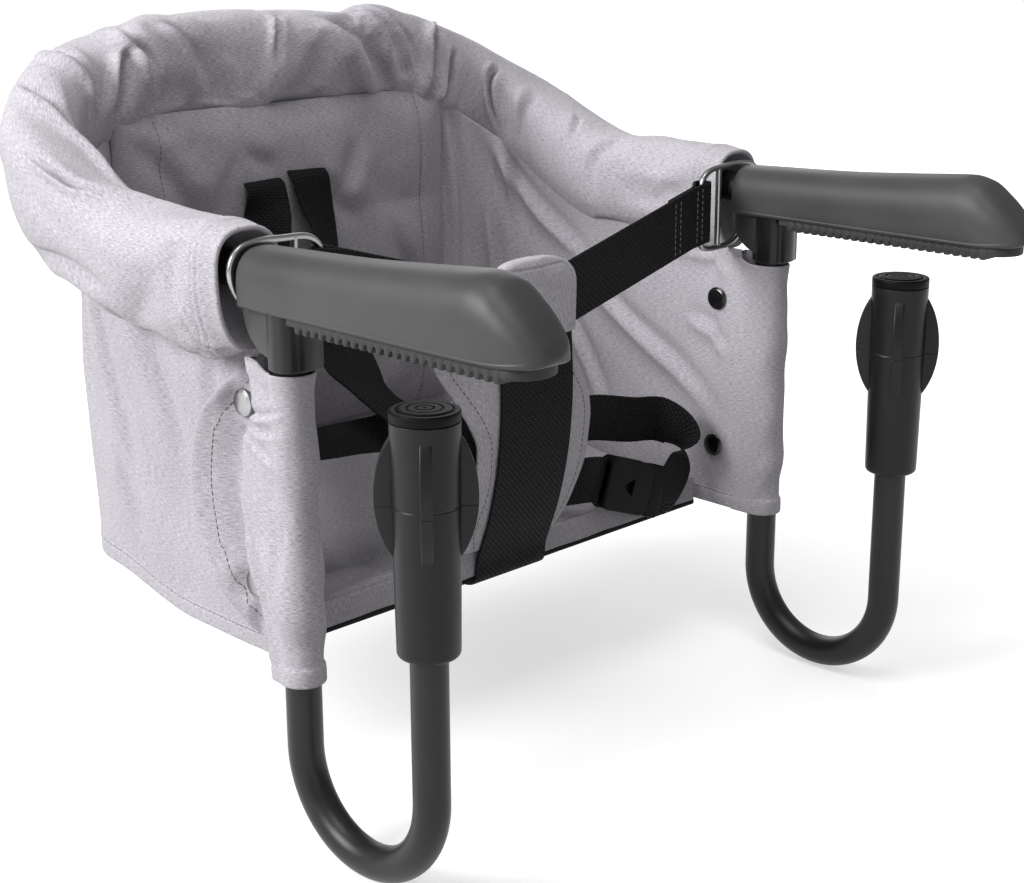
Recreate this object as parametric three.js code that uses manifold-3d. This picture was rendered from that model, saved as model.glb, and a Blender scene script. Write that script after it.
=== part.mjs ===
// A child's chair that hangs on a table edge: two arms lie on the table top, and two J-shaped
// hooks with screw clamps press up against its underside. A fabric seat hangs from a bent tube hoop.
// Units are millimetres. +X is the sitter's left, +Y the chair's back and +Z up. Heights below are
// counted from the centres of the hooks' bends, and the finished chair is lowered so that its
// origin lies on the table top, midway between the two rear legs.

import * as THREE from "three";
import { mergeVertices } from "three/addons/utils/BufferGeometryUtils.js";
import Module from "manifold-3d";

const wasm = await Module();
wasm.setup();

// Fits shared by every piece
const gap = 0.3;
const overrun = 2;
const runningGap = 0.6;

// The steel tube and the hoop it makes
const tube = { radius: 8, wall: 1.5, sides: 10 };
const legSpacing = 326;
const hoop = {
  height: 208, front: 128, depth: 216, corner: 57, rise: 72, riseStart: 87, levelShare: 0.34,
};
const hoopSteps = { arm: 1, side: 3, corner: 6, back: 5 };

// The hooks: a rear leg in the elbow, a half-round bend and a shorter front leg
const hook = { reach: 82, rearDrop: 12, frontDrop: 107, bendSteps: 14, sides: 16 };
const legPlug = { length: 22, inset: 0.4 };
const pivotBolt = { shank: 2.5, head: 4.5, headHeight: 2.2, length: 38 };

// The arms, measured from the rear legs
const arm = { rear: 16, nose: 153, drop: 13, height: 33, halfWidth: 16.5, crownShare: 0.62 };
const grip = {
  start: 13.5, teethStart: 19, teethEnd: 137, nose: 147, halfWidth: 12.5, sunk: 2,
  rootDepth: 2.4, depth: 5, blockDepth: 3, teeth: 24,
};
const elbow = {
  side: 22.5, cornerRadius: 5, rearRadius: 9.6, rearLap: 4, drop: 37, webWidth: 18, webRadius: 20, sides: 14,
};

// The strap ring: a bar frame round the tube with a slot for the webbing on its inner side
const ring = {
  y: 20.5, bar: 3.6, bevel: 0.7, inner: 36, outer: 15.4, height: 43, slotWidth: 9.5, innerBar: 4.5,
  cornerRadius: 7, holeRadius: 4,
};

// The screw clamp on the hook's front leg
const screw = { radius: 6, shankLength: 35, collarRadius: 7.8, collarHeight: 2, reach: 44, chamfer: 1.2 };
const knob = {
  drop: 26, length: 98, topRadius: 14.25, bottomRadius: 13.1, edge: 2, roof: 5, cavityRadius: 7, sides: 20,
};
const wing = { reach: 20.8, centreDrop: 29.5, halfHeight: 27.5, thickness: 5, steps: 20 };
const nut = { drop: 49, length: 18, radius: 10, sides: 16 };
// How far each clamp is screwed up, and its wings' turn as a share of a quarter turn
const clampLift = { left: 0, right: 4.5 };
const wingTurnShares = { left: 0.53, right: 0.37 };
const pad = {
  thickness: 4.7, edge: 1, grooveRadius: 8, grooveWidth: 1.6, grooveDepth: 0.6,
  stem: 4, snapRadius: 4.8, snapHeight: 3, sides: 16,
};

// The padded bolster round the hoop, measured from the tube's centre
const bolster = {
  front: 26, halfWidth: 19, outward: 1, top: 21, bottom: 30, sag: 6, tunnel: 9.2, cloth: 3,
  frontSteps: 2, sides: 14, upperPower: 2.6, lowerPower: 2.4, fold: 1.3, hemLength: 14,
};

// The hanging walls, all offset from the hoop's plan
const wall = {
  inward: 8, thickness: 2.4, lean: 2, leanRun: 100, front: 12, frontInset: 1.3, frontRun: 50, topClear: 1.4,
  hem: 30, hemRise: 12, riseStart: 92, riseEnd: 165, rows: 5, sideColumns: 14, backColumns: 16,
  fold: 1.4, foldCount: 5,
};
const backPad = {
  halfWidth: 100, bottom: 70, clearTop: 6, thickness: 4, crown: 5, columns: 12, rows: 6, tufts: 3,
};

// The seat, from the underside up
const seat = {
  front: 38, rearClear: 19, bottom: 29, rise: 22, riseRun: 105, sideMargin: 2.5,
  cover: 1.5, board: 3.7, cushion: 9, crown: 5, columns: 10, rows: 9,
};

// The flap that wraps each rear leg, its heights as shares of its own, and its two snaps
const flap = {
  radius: 9.3, thickness: 1.8, reach: 66.5, least: 14, middleShare: 0.555, upperShare: 0.437,
  lowerShare: 0.573, upperPower: 2, lowerPower: 1.6, bottom: 29.5, clearTop: 2, meet: 19, wrapSteps: 9,
  wrapPast: 0.8, tailSteps: 6, rows: 10, off: 0.5,
};
const snap = {
  y: 35, heightShares: [0.262, 0.849], capRadius: 6.3, capHeight: 2, studRadius: 5, studHeight: 1.6,
  sides: 10,
};

// The crotch pad, its webbing and the cap over the strap joint
const webbing = { crotch: 50, diagonal: 32, waist: 25, thickness: 1.6 };
const crotch = {
  padHalf: 50, padDrop: 36, padClear: 1.4, padThickness: 5, padCrown: 4, rows: 13, columns: 8, under: 2.9,
};
const cap = {
  x: -5, y: 12, halfWidth: 27, halfDepth: 5.6, below: 17, above: 22, rings: 9, sides: 14,
};
const diagonal = { past: 24.8, startDrop: 23, bendBack: 5.25, lapBack: 29.25 };

// The side-release buckle on the waist belt
const buckle = {
  at: [86, 31, 55], tilt: 20, length: 36, height: 29, thickness: 10, corner: 5, cavity: 26,
  cavityHeight: 23, cavityDepth: 5, window: 12, bar: 4, strapLead: 12,
};
const tongue = { base: 11, prong: 24, prongHeight: 4.2, centre: 5, thickness: 4 };

const legOffset = legSpacing / 2;
const bendRadius = hook.reach / 2;
const tubeBore = tube.radius - tube.wall;
const legTop = hoop.height - hook.rearDrop;
const screwSeat = legTop - hook.frontDrop;
const armBottom = hoop.height - arm.drop;
const soleTip = armBottom - grip.depth;
const elbowBottom = hoop.height - elbow.drop;
const knobTop = soleTip - knob.drop;
const nutBottom = knobTop - nut.drop;
const flapTop = elbowBottom - flap.clearTop;
const flapHeight = flapTop - flap.bottom;
const padTop = hoop.height - crotch.padDrop;
const capBottom = padTop - cap.below;
const capTop = padTop + cap.above;
const fullTurn = Math.PI * 2;

function material(color, roughness, metalness) {
  return new THREE.MeshStandardMaterial({ color, roughness, metalness });
}

const fabric = material(0xb4b4b8, 0.9, 0);
const liningFabric = material(0xa6a6ab, 0.9, 0);
const blackWebbing = material(0x18181a, 0.85, 0);
const blackFabric = material(0x222224, 0.9, 0);
const armRubber = material(0x4a4b4d, 0.6, 0);
const soleRubber = material(0x3d3e40, 0.8, 0);
const blackPlastic = material(0x1c1d1f, 0.5, 0);
const powderCoat = material(0x151517, 0.4, 0.3);
const platedSteel = material(0xc4c6c8, 0.25, 1);
const zincSteel = material(0x9a9c9e, 0.4, 1);
const brass = material(0xb08d4a, 0.35, 1);
const boardWood = material(0xb79a72, 0.8, 0);

const smooth = (share) => {
  const held = Math.min(Math.max(share, 0), 1);
  return held * held * (3 - 2 * held);
};
const mix = (from, to, share) => from + (to - from) * share;
const shares = (steps) => Array.from({ length: steps + 1 }, (_, index) => index / steps);
const radians = (degrees) => THREE.MathUtils.degToRad(degrees);

// Piecewise-linear reading of a table of [position share, value share] rows
function readShare(table, position) {
  const next = Math.max(1, table.findIndex((row) => row[0] >= position));
  const [fromPosition, fromValue] = table[next - 1];
  const [toPosition, toValue] = table[next];
  return mix(fromValue, toValue, (position - fromPosition) / (toPosition - fromPosition));
}

// Closed surfaces built row by row

function addRow(points, row) {
  const first = points.length;
  points.push(...row);
  return row.map((_, index) => first + index);
}

function joinRows(triangles, lower, upper, closed) {
  const count = closed ? lower.length : lower.length - 1;
  for (let index = 0; index < count; index += 1) {
    const next = (index + 1) % lower.length;
    triangles.push([lower[index], lower[next], upper[next]]);
    triangles.push([lower[index], upper[next], upper[index]]);
  }
}

function capRow(points, triangles, row, facingBack) {
  const centre = row.reduce((sum, index) => sum.add(points[index]), new THREE.Vector3());
  const hub = addRow(points, [centre.divideScalar(row.length)])[0];
  row.forEach((index, place) => {
    const next = row[(place + 1) % row.length];
    triangles.push(facingBack ? [hub, next, index] : [hub, index, next]);
  });
}

function closedGeometry(points, triangles) {
  const volume = triangles.reduce((sum, [a, b, c]) => {
    const cross = points[b].clone().cross(points[c]);
    return sum + points[a].dot(cross);
  }, 0);
  const outward = volume > 0 ? triangles : triangles.map(([a, b, c]) => [a, c, b]);
  const geometry = new THREE.BufferGeometry();
  const values = points.flatMap((point) => point.toArray());
  geometry.setAttribute("position", new THREE.Float32BufferAttribute(values, 3));
  geometry.setIndex(outward.flat());
  return geometry;
}

// A solid skinned over closed rings of equal length
function loft(rings) {
  const points = [];
  const triangles = [];
  const rows = rings.map((row) => addRow(points, row));
  for (let index = 1; index < rows.length; index += 1) {
    joinRows(triangles, rows[index - 1], rows[index], true);
  }
  capRow(points, triangles, rows[0], true);
  capRow(points, triangles, rows[rows.length - 1], false);
  return closedGeometry(points, triangles);
}

// The same with a hollow that is open at both ends
function sleeve(outerRings, innerRings) {
  const points = [];
  const triangles = [];
  const outer = outerRings.map((row) => addRow(points, row));
  const inner = innerRings.map((row) => addRow(points, row));
  const last = outer.length - 1;
  for (let index = 1; index <= last; index += 1) {
    joinRows(triangles, outer[index - 1], outer[index], true);
    joinRows(triangles, inner[index], inner[index - 1], true);
  }
  joinRows(triangles, inner[0], outer[0], true);
  joinRows(triangles, outer[last], inner[last], true);
  return closedGeometry(points, triangles);
}

// A sheet between two grids of points
function thickSheet(frontGrid, backGrid) {
  const points = [];
  const triangles = [];
  const front = frontGrid.map((row) => addRow(points, row));
  const back = backGrid.map((row) => addRow(points, row));
  const last = front.length - 1;
  for (let index = 1; index <= last; index += 1) {
    joinRows(triangles, front[index - 1], front[index], false);
    joinRows(triangles, back[index], back[index - 1], false);
  }
  joinRows(triangles, back[0], front[0], false);
  joinRows(triangles, front[last], back[last], false);
  const side = (grid, place) => grid.map((row) => row.at(place));
  joinRows(triangles, side(front, 0), side(back, 0), false);
  joinRows(triangles, side(back, -1), side(front, -1), false);
  return closedGeometry(points, triangles);
}

// Booleans

const weld = 1e-4;

function toSolid(geometry) {
  const plain = geometry.clone();
  plain.deleteAttribute("normal");
  plain.deleteAttribute("uv");
  const merged = mergeVertices(plain, weld);
  return new wasm.Manifold(new wasm.Mesh({
    numProp: 3,
    vertProperties: new Float32Array(merged.attributes.position.array),
    triVerts: new Uint32Array(merged.index.array),
  }));
}

function toGeometry(solid) {
  const mesh = solid.getMesh();
  const geometry = new THREE.BufferGeometry();
  geometry.setAttribute("position", new THREE.BufferAttribute(mesh.vertProperties, mesh.numProp));
  geometry.setIndex(new THREE.BufferAttribute(mesh.triVerts, 1));
  return geometry;
}

function cut(geometry, cutters) {
  return toGeometry(cutters.reduce((solid, cutter) => solid.subtract(toSolid(cutter)), toSolid(geometry)));
}

function fuse(geometries) {
  const [first, ...others] = geometries;
  return toGeometry(others.reduce((solid, piece) => solid.add(toSolid(piece)), toSolid(first)));
}

function overlapOf(first, second) {
  return toGeometry(toSolid(first).intersect(toSolid(second)));
}

// Outlines and simple solids

function circleOutline(radius, sides) {
  return shares(sides).slice(0, -1).map((share) => [
    radius * Math.cos(share * fullTurn),
    radius * Math.sin(share * fullTurn),
  ]);
}

function roundedOutline(sides, halfWidth, top, bottom, upperPower, lowerPower) {
  return shares(sides).slice(0, -1).map((share) => {
    const cosine = Math.cos(share * fullTurn);
    const sine = Math.sin(share * fullTurn);
    const power = 2 / (sine >= 0 ? upperPower : lowerPower);
    const over = sine >= 0 ? top : -bottom;
    return [Math.sign(cosine) * halfWidth * Math.abs(cosine) ** power, over * Math.abs(sine) ** power];
  });
}

// A ring of points from an outline at a station with an origin and two directions
function ringAt(station, outline) {
  return outline.map(([across, over]) => station.origin.clone()
    .addScaledVector(station.across, across)
    .addScaledVector(station.over, over));
}

function roundedRectangle(width, height, radius) {
  const shape = new THREE.Shape();
  const halfWidth = width / 2;
  const halfHeight = height / 2;
  shape.moveTo(radius - halfWidth, -halfHeight);
  shape.lineTo(halfWidth - radius, -halfHeight);
  shape.absarc(halfWidth - radius, radius - halfHeight, radius, -Math.PI / 2, 0);
  shape.lineTo(halfWidth, halfHeight - radius);
  shape.absarc(halfWidth - radius, halfHeight - radius, radius, 0, Math.PI / 2);
  shape.lineTo(radius - halfWidth, halfHeight);
  shape.absarc(radius - halfWidth, halfHeight - radius, radius, Math.PI / 2, Math.PI);
  shape.lineTo(-halfWidth, radius - halfHeight);
  shape.absarc(radius - halfWidth, radius - halfHeight, radius, Math.PI, Math.PI * 1.5);
  return shape;
}

function prism(shape, depth, curveSegments) {
  return new THREE.ExtrudeGeometry(shape, { depth, bevelEnabled: false, curveSegments });
}

// A turned solid about Z from [radius, height] pairs that start and end on the axis or close
function turned(profile, sides) {
  const points = profile.map(([radius, height]) => new THREE.Vector2(radius, height));
  const geometry = new THREE.LatheGeometry(points, sides);
  geometry.rotateX(Math.PI / 2);
  return geometry;
}

function uprightRod(radius, bottom, top, sides) {
  const rod = new THREE.CylinderGeometry(radius, radius, top - bottom, sides);
  rod.rotateX(Math.PI / 2);
  rod.translate(0, 0, (top + bottom) / 2);
  return rod;
}

function lyingRod(radius, front, rear, height, sides) {
  const rod = new THREE.CylinderGeometry(radius, radius, rear - front, sides);
  rod.translate(0, (front + rear) / 2, height);
  return rod;
}

function block(width, front, rear, bottom, top) {
  const box = new THREE.BoxGeometry(width, rear - front, top - bottom);
  box.translate(0, (front + rear) / 2, (bottom + top) / 2);
  return box;
}

function mirrored(geometry) {
  const copy = geometry.index ? geometry.clone() : mergeVertices(geometry.clone());
  copy.scale(-1, 1, 1);
  const order = copy.index.array;
  for (let index = 0; index < order.length; index += 3) {
    [order[index + 1], order[index + 2]] = [order[index + 2], order[index + 1]];
  }
  return copy;
}

// The assembly and how pieces join it

const chair = new THREE.Group();
chair.name = "hook_on_table_chair";
chair.userData.units = "mm";

function place(name, geometry, look, position = [0, 0, 0]) {
  geometry.computeVertexNormals();
  const mesh = new THREE.Mesh(geometry, look);
  mesh.name = name;
  mesh.position.set(...position);
  chair.add(mesh);
  return mesh;
}

// geometry is the right-hand piece, drawn about x = offset
function placePair(name, geometry, look, offset = 0, y = 0) {
  place(`right_${name}`, geometry, look, [offset, y, 0]);
  place(`left_${name}`, mirrored(geometry), look, [-offset, y, 0]);
}

// The hoop's plan, walked outward from the middle of its back

const flatHalf = legOffset - hoop.corner;
const cornerRun = hoop.corner * Math.PI / 2;
const arcEnd = flatHalf + cornerRun;
const runAtY = (y) => arcEnd + hoop.depth - hoop.corner - y;
const hoopRun = runAtY(-hoop.front);
const risenRun = runAtY(hoop.riseStart);
const levelRun = hoop.levelShare * arcEnd;

function planAt(run) {
  const walked = Math.abs(run);
  const side = run < 0 ? -1 : 1;
  const angle = Math.min(Math.max((walked - flatHalf) / hoop.corner, 0), Math.PI / 2);
  const straight = Math.max(walked - flatHalf - cornerRun, 0);
  const x = Math.min(walked, flatHalf) + hoop.corner * Math.sin(angle);
  const y = hoop.depth - hoop.corner + hoop.corner * Math.cos(angle) - straight;
  return { x: side * x, y, outX: side * Math.sin(angle), outY: Math.cos(angle) };
}

function hoopHeightAt(run) {
  return hoop.height + hoop.rise * smooth((risenRun - Math.abs(run)) / (risenRun - levelRun));
}

function hoopStation(run) {
  const small = 0.5;
  const origin = (at) => new THREE.Vector3(planAt(at).x, planAt(at).y, hoopHeightAt(at));
  const along = origin(run + small).sub(origin(run - small)).normalize();
  const { outX, outY } = planAt(run);
  const across = new THREE.Vector3(outX, outY, 0);
  return { origin: origin(run), across, over: along.cross(across).normalize() };
}

// Runs from one front end of the hoop to the other, close together where it bends
function spacedRuns(end, endSteps) {
  const legs = [
    [end, risenRun, endSteps],
    [risenRun, arcEnd, hoopSteps.side],
    [arcEnd, flatHalf, hoopSteps.corner],
    [flatHalf, 0, hoopSteps.back],
  ];
  const half = legs.flatMap(([from, to, steps]) => (
    shares(steps).slice(0, -1).map((share) => mix(from, to, share))
  ));
  return half.concat(0, half.toReversed().map((run) => -run));
}

function makeHoopTube() {
  const stations = spacedRuns(hoopRun, hoopSteps.arm).map(hoopStation);
  const outer = stations.map((station) => ringAt(station, circleOutline(tube.radius, tube.sides)));
  const inner = stations.map((station) => ringAt(station, circleOutline(tubeBore, tube.sides)));
  const below = hoop.height - tube.radius * 2;
  const above = hoop.height + tube.radius * 2;
  const holes = [-1, 1].map((side) => {
    const hole = uprightRod(pivotBolt.shank + gap, below, above, 12);
    hole.translate(side * legOffset, 0, 0);
    return hole;
  });
  return cut(sleeve(outer, inner), holes);
}

// Elbow: a socket for the leg, square in front and round at the rear, that carries the hoop tube
function makeElbow() {
  const socketTop = legTop + gap;
  const frontDepth = elbow.side / 2 + elbow.rearLap;
  const front = prism(roundedRectangle(elbow.side, frontDepth, elbow.cornerRadius), elbow.drop - gap, 2);
  front.translate(0, elbow.rearLap - frontDepth / 2, elbowBottom);
  const rear = uprightRod(elbow.rearRadius, elbowBottom, hoop.height - gap, elbow.sides);
  const webShape = new THREE.Shape();
  webShape.moveTo(0, 0);
  webShape.lineTo(elbow.webRadius, 0);
  webShape.absarc(0, 0, elbow.webRadius, 0, -Math.PI / 2, true);
  webShape.closePath();
  const web = prism(webShape, elbow.webWidth, 8);
  web.translate(0, 0, -elbow.webWidth / 2);
  web.rotateX(Math.PI / 2);
  web.rotateZ(Math.PI / 2);
  web.translate(0, 0, armBottom - gap);
  const body = fuse([front, rear, web]);
  return cut(body, [
    uprightRod(tube.radius + gap, elbowBottom - overrun, socketTop, elbow.sides),
    lyingRod(tube.radius + gap, -elbow.side, elbow.side, hoop.height, elbow.sides),
    uprightRod(pivotBolt.shank + gap, elbowBottom, hoop.height, 12),
  ]);
}

// Arm cover: rows are [share of the length, share of the width, share of the height, raised underside]
const armSectionShares = [
  [0, 0.87, 0.76, 0], [0.1, 0.9, 0.78, 0], [0.35, 0.94, 0.83, 0], [0.6, 0.98, 0.92, 0], [0.74, 1, 0.98, 0],
  [0.8, 1, 1, 0], [0.85, 0.98, 0.95, 0], [0.9, 0.92, 0.78, 0.01], [0.94, 0.82, 0.6, 0.03],
  [0.97, 0.68, 0.44, 0.05], [0.99, 0.46, 0.32, 0.08], [1, 0.2, 0.22, 0.12],
];

function armStation([alongShare, widthShare, heightShare, raisedShare]) {
  const bottom = armBottom + arm.height * raisedShare;
  const top = armBottom + arm.height * heightShare;
  const centre = mix(bottom, top, 1 - arm.crownShare);
  const station = {
    origin: new THREE.Vector3(0, mix(arm.rear, -arm.nose, alongShare), centre),
    across: new THREE.Vector3(1, 0, 0),
    over: new THREE.Vector3(0, 0, 1),
  };
  const upperPower = 2.5;
  const lowerPower = 6;
  const halfWidth = arm.halfWidth * widthShare;
  const outline = roundedOutline(20, halfWidth, top - centre, centre - bottom, upperPower, lowerPower);
  return ringAt(station, outline);
}

function gripPlan(margin) {
  const shape = new THREE.Shape();
  const halfWidth = grip.halfWidth + margin;
  shape.moveTo(halfWidth, grip.start - margin);
  shape.lineTo(halfWidth, grip.teethEnd);
  shape.absellipse(0, grip.teethEnd, halfWidth, grip.nose - grip.teethEnd + margin, 0, Math.PI, false);
  shape.lineTo(-halfWidth, grip.start - margin);
  shape.closePath();
  return shape;
}

// The plan is drawn with its second axis along the arm, toward the nose
function gripPrism(margin, bottom, top) {
  const solid = prism(gripPlan(margin), top - bottom, 8);
  solid.rotateX(Math.PI);
  solid.translate(0, 0, top);
  return solid;
}

function makeArmCover() {
  const pocketHalf = elbow.side / 2 + gap;
  const boltTop = hoop.height + tube.radius + gap * 2 + pivotBolt.headHeight;
  return cut(loft(armSectionShares.map(armStation)), [
    lyingRod(tube.radius + gap, -hoop.front - gap, arm.rear + overrun, hoop.height, 20),
    block(pocketHalf * 2, -pocketHalf, arm.rear + overrun, armBottom - overrun, hoop.height),
    uprightRod(pivotBolt.head + gap, hoop.height, boltTop, 16),
    gripPrism(gap, armBottom - overrun, armBottom + grip.sunk + gap),
  ]);
}

// Arm grip: a comb profile along the arm, trimmed to the sole's plan
function makeArmGrip() {
  const comb = new THREE.Shape();
  const pitch = (grip.teethEnd - grip.teethStart) / grip.teeth;
  const toothShares = [0.12, 0.3, 0.62, 0.8];
  const root = armBottom - grip.rootDepth;
  const blockBottom = armBottom - grip.blockDepth;
  comb.moveTo(grip.start, armBottom + grip.sunk);
  comb.lineTo(grip.start, root);
  for (let tooth = 0; tooth < grip.teeth; tooth += 1) {
    const along = toothShares.map((share) => grip.teethStart + pitch * (tooth + share));
    comb.lineTo(along[0], root);
    comb.lineTo(along[1], soleTip);
    comb.lineTo(along[2], soleTip);
    comb.lineTo(along[3], root);
  }
  comb.lineTo(grip.teethEnd, blockBottom);
  comb.lineTo(grip.nose, blockBottom);
  comb.lineTo(grip.nose, armBottom + grip.sunk);
  comb.closePath();
  const bar = prism(comb, grip.halfWidth * 2, 1);
  bar.translate(0, 0, -grip.halfWidth);
  bar.rotateX(Math.PI / 2);
  bar.rotateZ(-Math.PI / 2);
  return overlapOf(bar, gripPrism(0, soleTip - overrun, armBottom + grip.sunk + overrun));
}

// Strap ring: drawn in X and Z about the leg's axis, its slot toward the chair's middle
function makeStrapRing() {
  const holeTop = hoop.height + tube.radius + gap;
  const bottom = holeTop + ring.bar - ring.height;
  const rectangle = (left, right, low, high, radius) => {
    const shape = roundedRectangle(right - left, high - low, radius);
    const centre = new THREE.Vector2((left + right) / 2, (low + high) / 2);
    return shape.getPoints(2).map((point) => point.add(centre));
  };
  const trim = ring.bevel;
  const top = holeTop + ring.bar;
  const outline = new THREE.Shape(
    rectangle(trim - ring.inner, ring.outer - trim, bottom + trim, top - trim, ring.cornerRadius),
  );
  const slotLeft = ring.innerBar - ring.inner;
  const slotRight = slotLeft + ring.slotWidth;
  const low = bottom + ring.bar;
  outline.holes.push(new THREE.Path(
    rectangle(slotLeft - trim, slotRight + trim, low - trim, holeTop + trim, ring.holeRadius / 2).reverse(),
  ));
  const tubeLeft = slotRight + ring.bar - trim;
  const tubeRight = ring.outer - ring.bar + trim;
  outline.holes.push(new THREE.Path(
    rectangle(tubeLeft, tubeRight, low - trim, holeTop + trim, ring.holeRadius).reverse(),
  ));
  const frame = new THREE.ExtrudeGeometry(outline, {
    depth: ring.bar - trim * 2, bevelEnabled: true, bevelSize: trim, bevelThickness: trim, bevelSegments: 1,
  });
  frame.translate(0, 0, trim - ring.bar / 2);
  frame.rotateX(Math.PI / 2);
  frame.translate(0, ring.y, 0);
  return frame;
}

// Hook: down the rear leg, round the bend and up the front leg
function makeHookTube() {
  const across = new THREE.Vector3(1, 0, 0);
  const station = (y, z, overY, overZ) => ({
    origin: new THREE.Vector3(0, y, z), across, over: new THREE.Vector3(0, overY, overZ),
  });
  const bend = shares(hook.bendSteps).map((share) => {
    const angle = share * Math.PI;
    const towardY = Math.cos(angle);
    const towardZ = -Math.sin(angle);
    return station(-bendRadius + bendRadius * towardY, bendRadius * towardZ, towardY, towardZ);
  });
  const stations = [station(0, legTop, 1, 0), ...bend, station(-hook.reach, screwSeat, -1, 0)];
  return sleeve(
    stations.map((at) => ringAt(at, circleOutline(tube.radius, hook.sides))),
    stations.map((at) => ringAt(at, circleOutline(tubeBore, hook.sides))),
  );
}

function makeLegPlug() {
  const top = legTop - legPlug.inset;
  const bottom = top - legPlug.length;
  const outer = tubeBore - gap;
  const inner = pivotBolt.shank + gap;
  return turned([[inner, bottom], [outer, bottom], [outer, top], [inner, top], [inner, bottom]], 14);
}

function makePivotBolt() {
  const seatHeight = hoop.height + tube.radius + gap;
  const headTop = seatHeight + pivotBolt.headHeight;
  const tipHeight = seatHeight - pivotBolt.length;
  const chamfer = pivotBolt.shank / 3;
  return turned([
    [0, tipHeight], [pivotBolt.shank - chamfer, tipHeight], [pivotBolt.shank, tipHeight + chamfer],
    [pivotBolt.shank, seatHeight], [pivotBolt.head, seatHeight], [pivotBolt.head, headTop - chamfer],
    [pivotBolt.head - chamfer, headTop], [0, headTop],
  ], 12);
}

function makeClampScrew() {
  const collarBottom = screwSeat + gap;
  const collarTop = collarBottom + screw.collarHeight;
  const shank = tubeBore - gap;
  const top = screwSeat + screw.reach;
  return turned([
    [0, collarBottom - screw.shankLength], [shank, collarBottom - screw.shankLength], [shank, collarBottom],
    [screw.collarRadius, collarBottom], [screw.collarRadius, collarTop], [screw.radius, collarTop],
    [screw.radius, top - screw.chamfer], [screw.radius - screw.chamfer, top], [0, top],
  ], 16);
}

// Clamp knob: a tapered sleeve with four wings, hollowed for the leg, the nut and the screw
function makeClampKnob(turn) {
  const bottom = knobTop - knob.length;
  const outside = turned([
    [0, bottom], [knob.bottomRadius - knob.edge, bottom],
    [knob.bottomRadius - knob.edge * 0.3, bottom + knob.edge * 0.3],
    [knob.bottomRadius, bottom + knob.edge], [knob.topRadius, knobTop - knob.edge / 2],
    [knob.topRadius - knob.edge / 2, knobTop], [0, knobTop],
  ], knob.sides);
  const wings = [0, 1].map((quarter) => {
    const oval = new THREE.Shape();
    oval.absellipse(0, 0, wing.reach, wing.halfHeight, 0, fullTurn, false);
    const plate = prism(oval, wing.thickness, wing.steps / 2);
    plate.translate(0, 0, -wing.thickness / 2);
    plate.rotateX(Math.PI / 2);
    plate.rotateZ(quarter * Math.PI / 2 + turn);
    plate.translate(0, 0, knobTop - wing.centreDrop);
    return plate;
  });
  const legBore = tube.radius + runningGap;
  const pocketBottom = nutBottom - gap;
  const pocketTop = nutBottom + nut.length + gap;
  const roof = knobTop - knob.roof;
  const stemHole = pad.stem + gap;
  const hollow = turned([
    [0, bottom - overrun], [legBore, bottom - overrun], [legBore, pocketBottom],
    [nut.radius + gap, pocketBottom], [nut.radius + gap, pocketTop], [knob.cavityRadius, pocketTop],
    [knob.cavityRadius, roof], [stemHole, roof],
    [stemHole, knobTop + overrun], [0, knobTop + overrun],
  ], knob.sides);
  return cut(fuse([outside, ...wings]), [hollow]);
}

function makeThreadNut() {
  const bore = screw.radius + gap;
  const top = nutBottom + nut.length;
  return turned([
    [bore, nutBottom], [nut.radius, nutBottom], [nut.radius, top], [bore, top], [bore, nutBottom],
  ], nut.sides);
}

// Clamp pad: a disc with one ring groove, on a stem that snaps through the knob's roof
function makeClampPad() {
  const bottom = knobTop + gap;
  const top = bottom + pad.thickness;
  const snapTop = knobTop - knob.roof - gap;
  const snapBottom = snapTop - pad.snapHeight;
  const grooveEnd = pad.grooveRadius + pad.grooveWidth;
  return turned([
    [0, snapBottom], [pad.stem, snapBottom], [pad.snapRadius, snapTop - pad.snapHeight / 3],
    [pad.snapRadius, snapTop], [pad.stem, snapTop], [pad.stem, bottom], [knob.topRadius - pad.edge, bottom],
    [knob.topRadius, bottom + pad.edge], [knob.topRadius, top - pad.edge], [knob.topRadius - pad.edge, top],
    [grooveEnd, top], [grooveEnd, top - pad.grooveDepth], [pad.grooveRadius, top - pad.grooveDepth],
    [pad.grooveRadius, top], [0, top],
  ], pad.sides);
}

// One side's knob, nut and pad, screwed up by that side's lift
function placeClamp(side, sign) {
  const position = [sign * legOffset, -hook.reach, clampLift[side]];
  const knobTurn = wingTurnShares[side] * Math.PI / 2;
  place(`${side}_clamp_knob`, makeClampKnob(knobTurn), blackPlastic, position);
  place(`${side}_thread_nut`, makeThreadNut(), brass, position);
  place(`${side}_clamp_pad`, makeClampPad(), blackPlastic, position);
}

// Bolster: depths below the tube and the outline's width follow the run from the back to the front end

const bolsterRun = runAtY(bolster.front);

function bolsterShape(run) {
  const share = Math.abs(run) / bolsterRun;
  const deep = bolster.bottom + bolster.sag * Math.sin(Math.PI * share);
  const hemShare = smooth((Math.abs(run) - bolsterRun + bolster.hemLength) / bolster.hemLength);
  const drawn = 1 - 0.08 * hemShare;
  return { halfWidth: bolster.halfWidth * drawn, top: bolster.top * drawn, bottom: deep * drawn };
}

function bolsterUnderside(run, across) {
  const { halfWidth, bottom } = bolsterShape(run);
  const offShare = Math.min(Math.abs(across - bolster.outward) / halfWidth, 0.98);
  const depth = bottom * (1 - offShare ** bolster.lowerPower) ** (1 / bolster.lowerPower);
  return hoopHeightAt(run) - depth;
}

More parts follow.
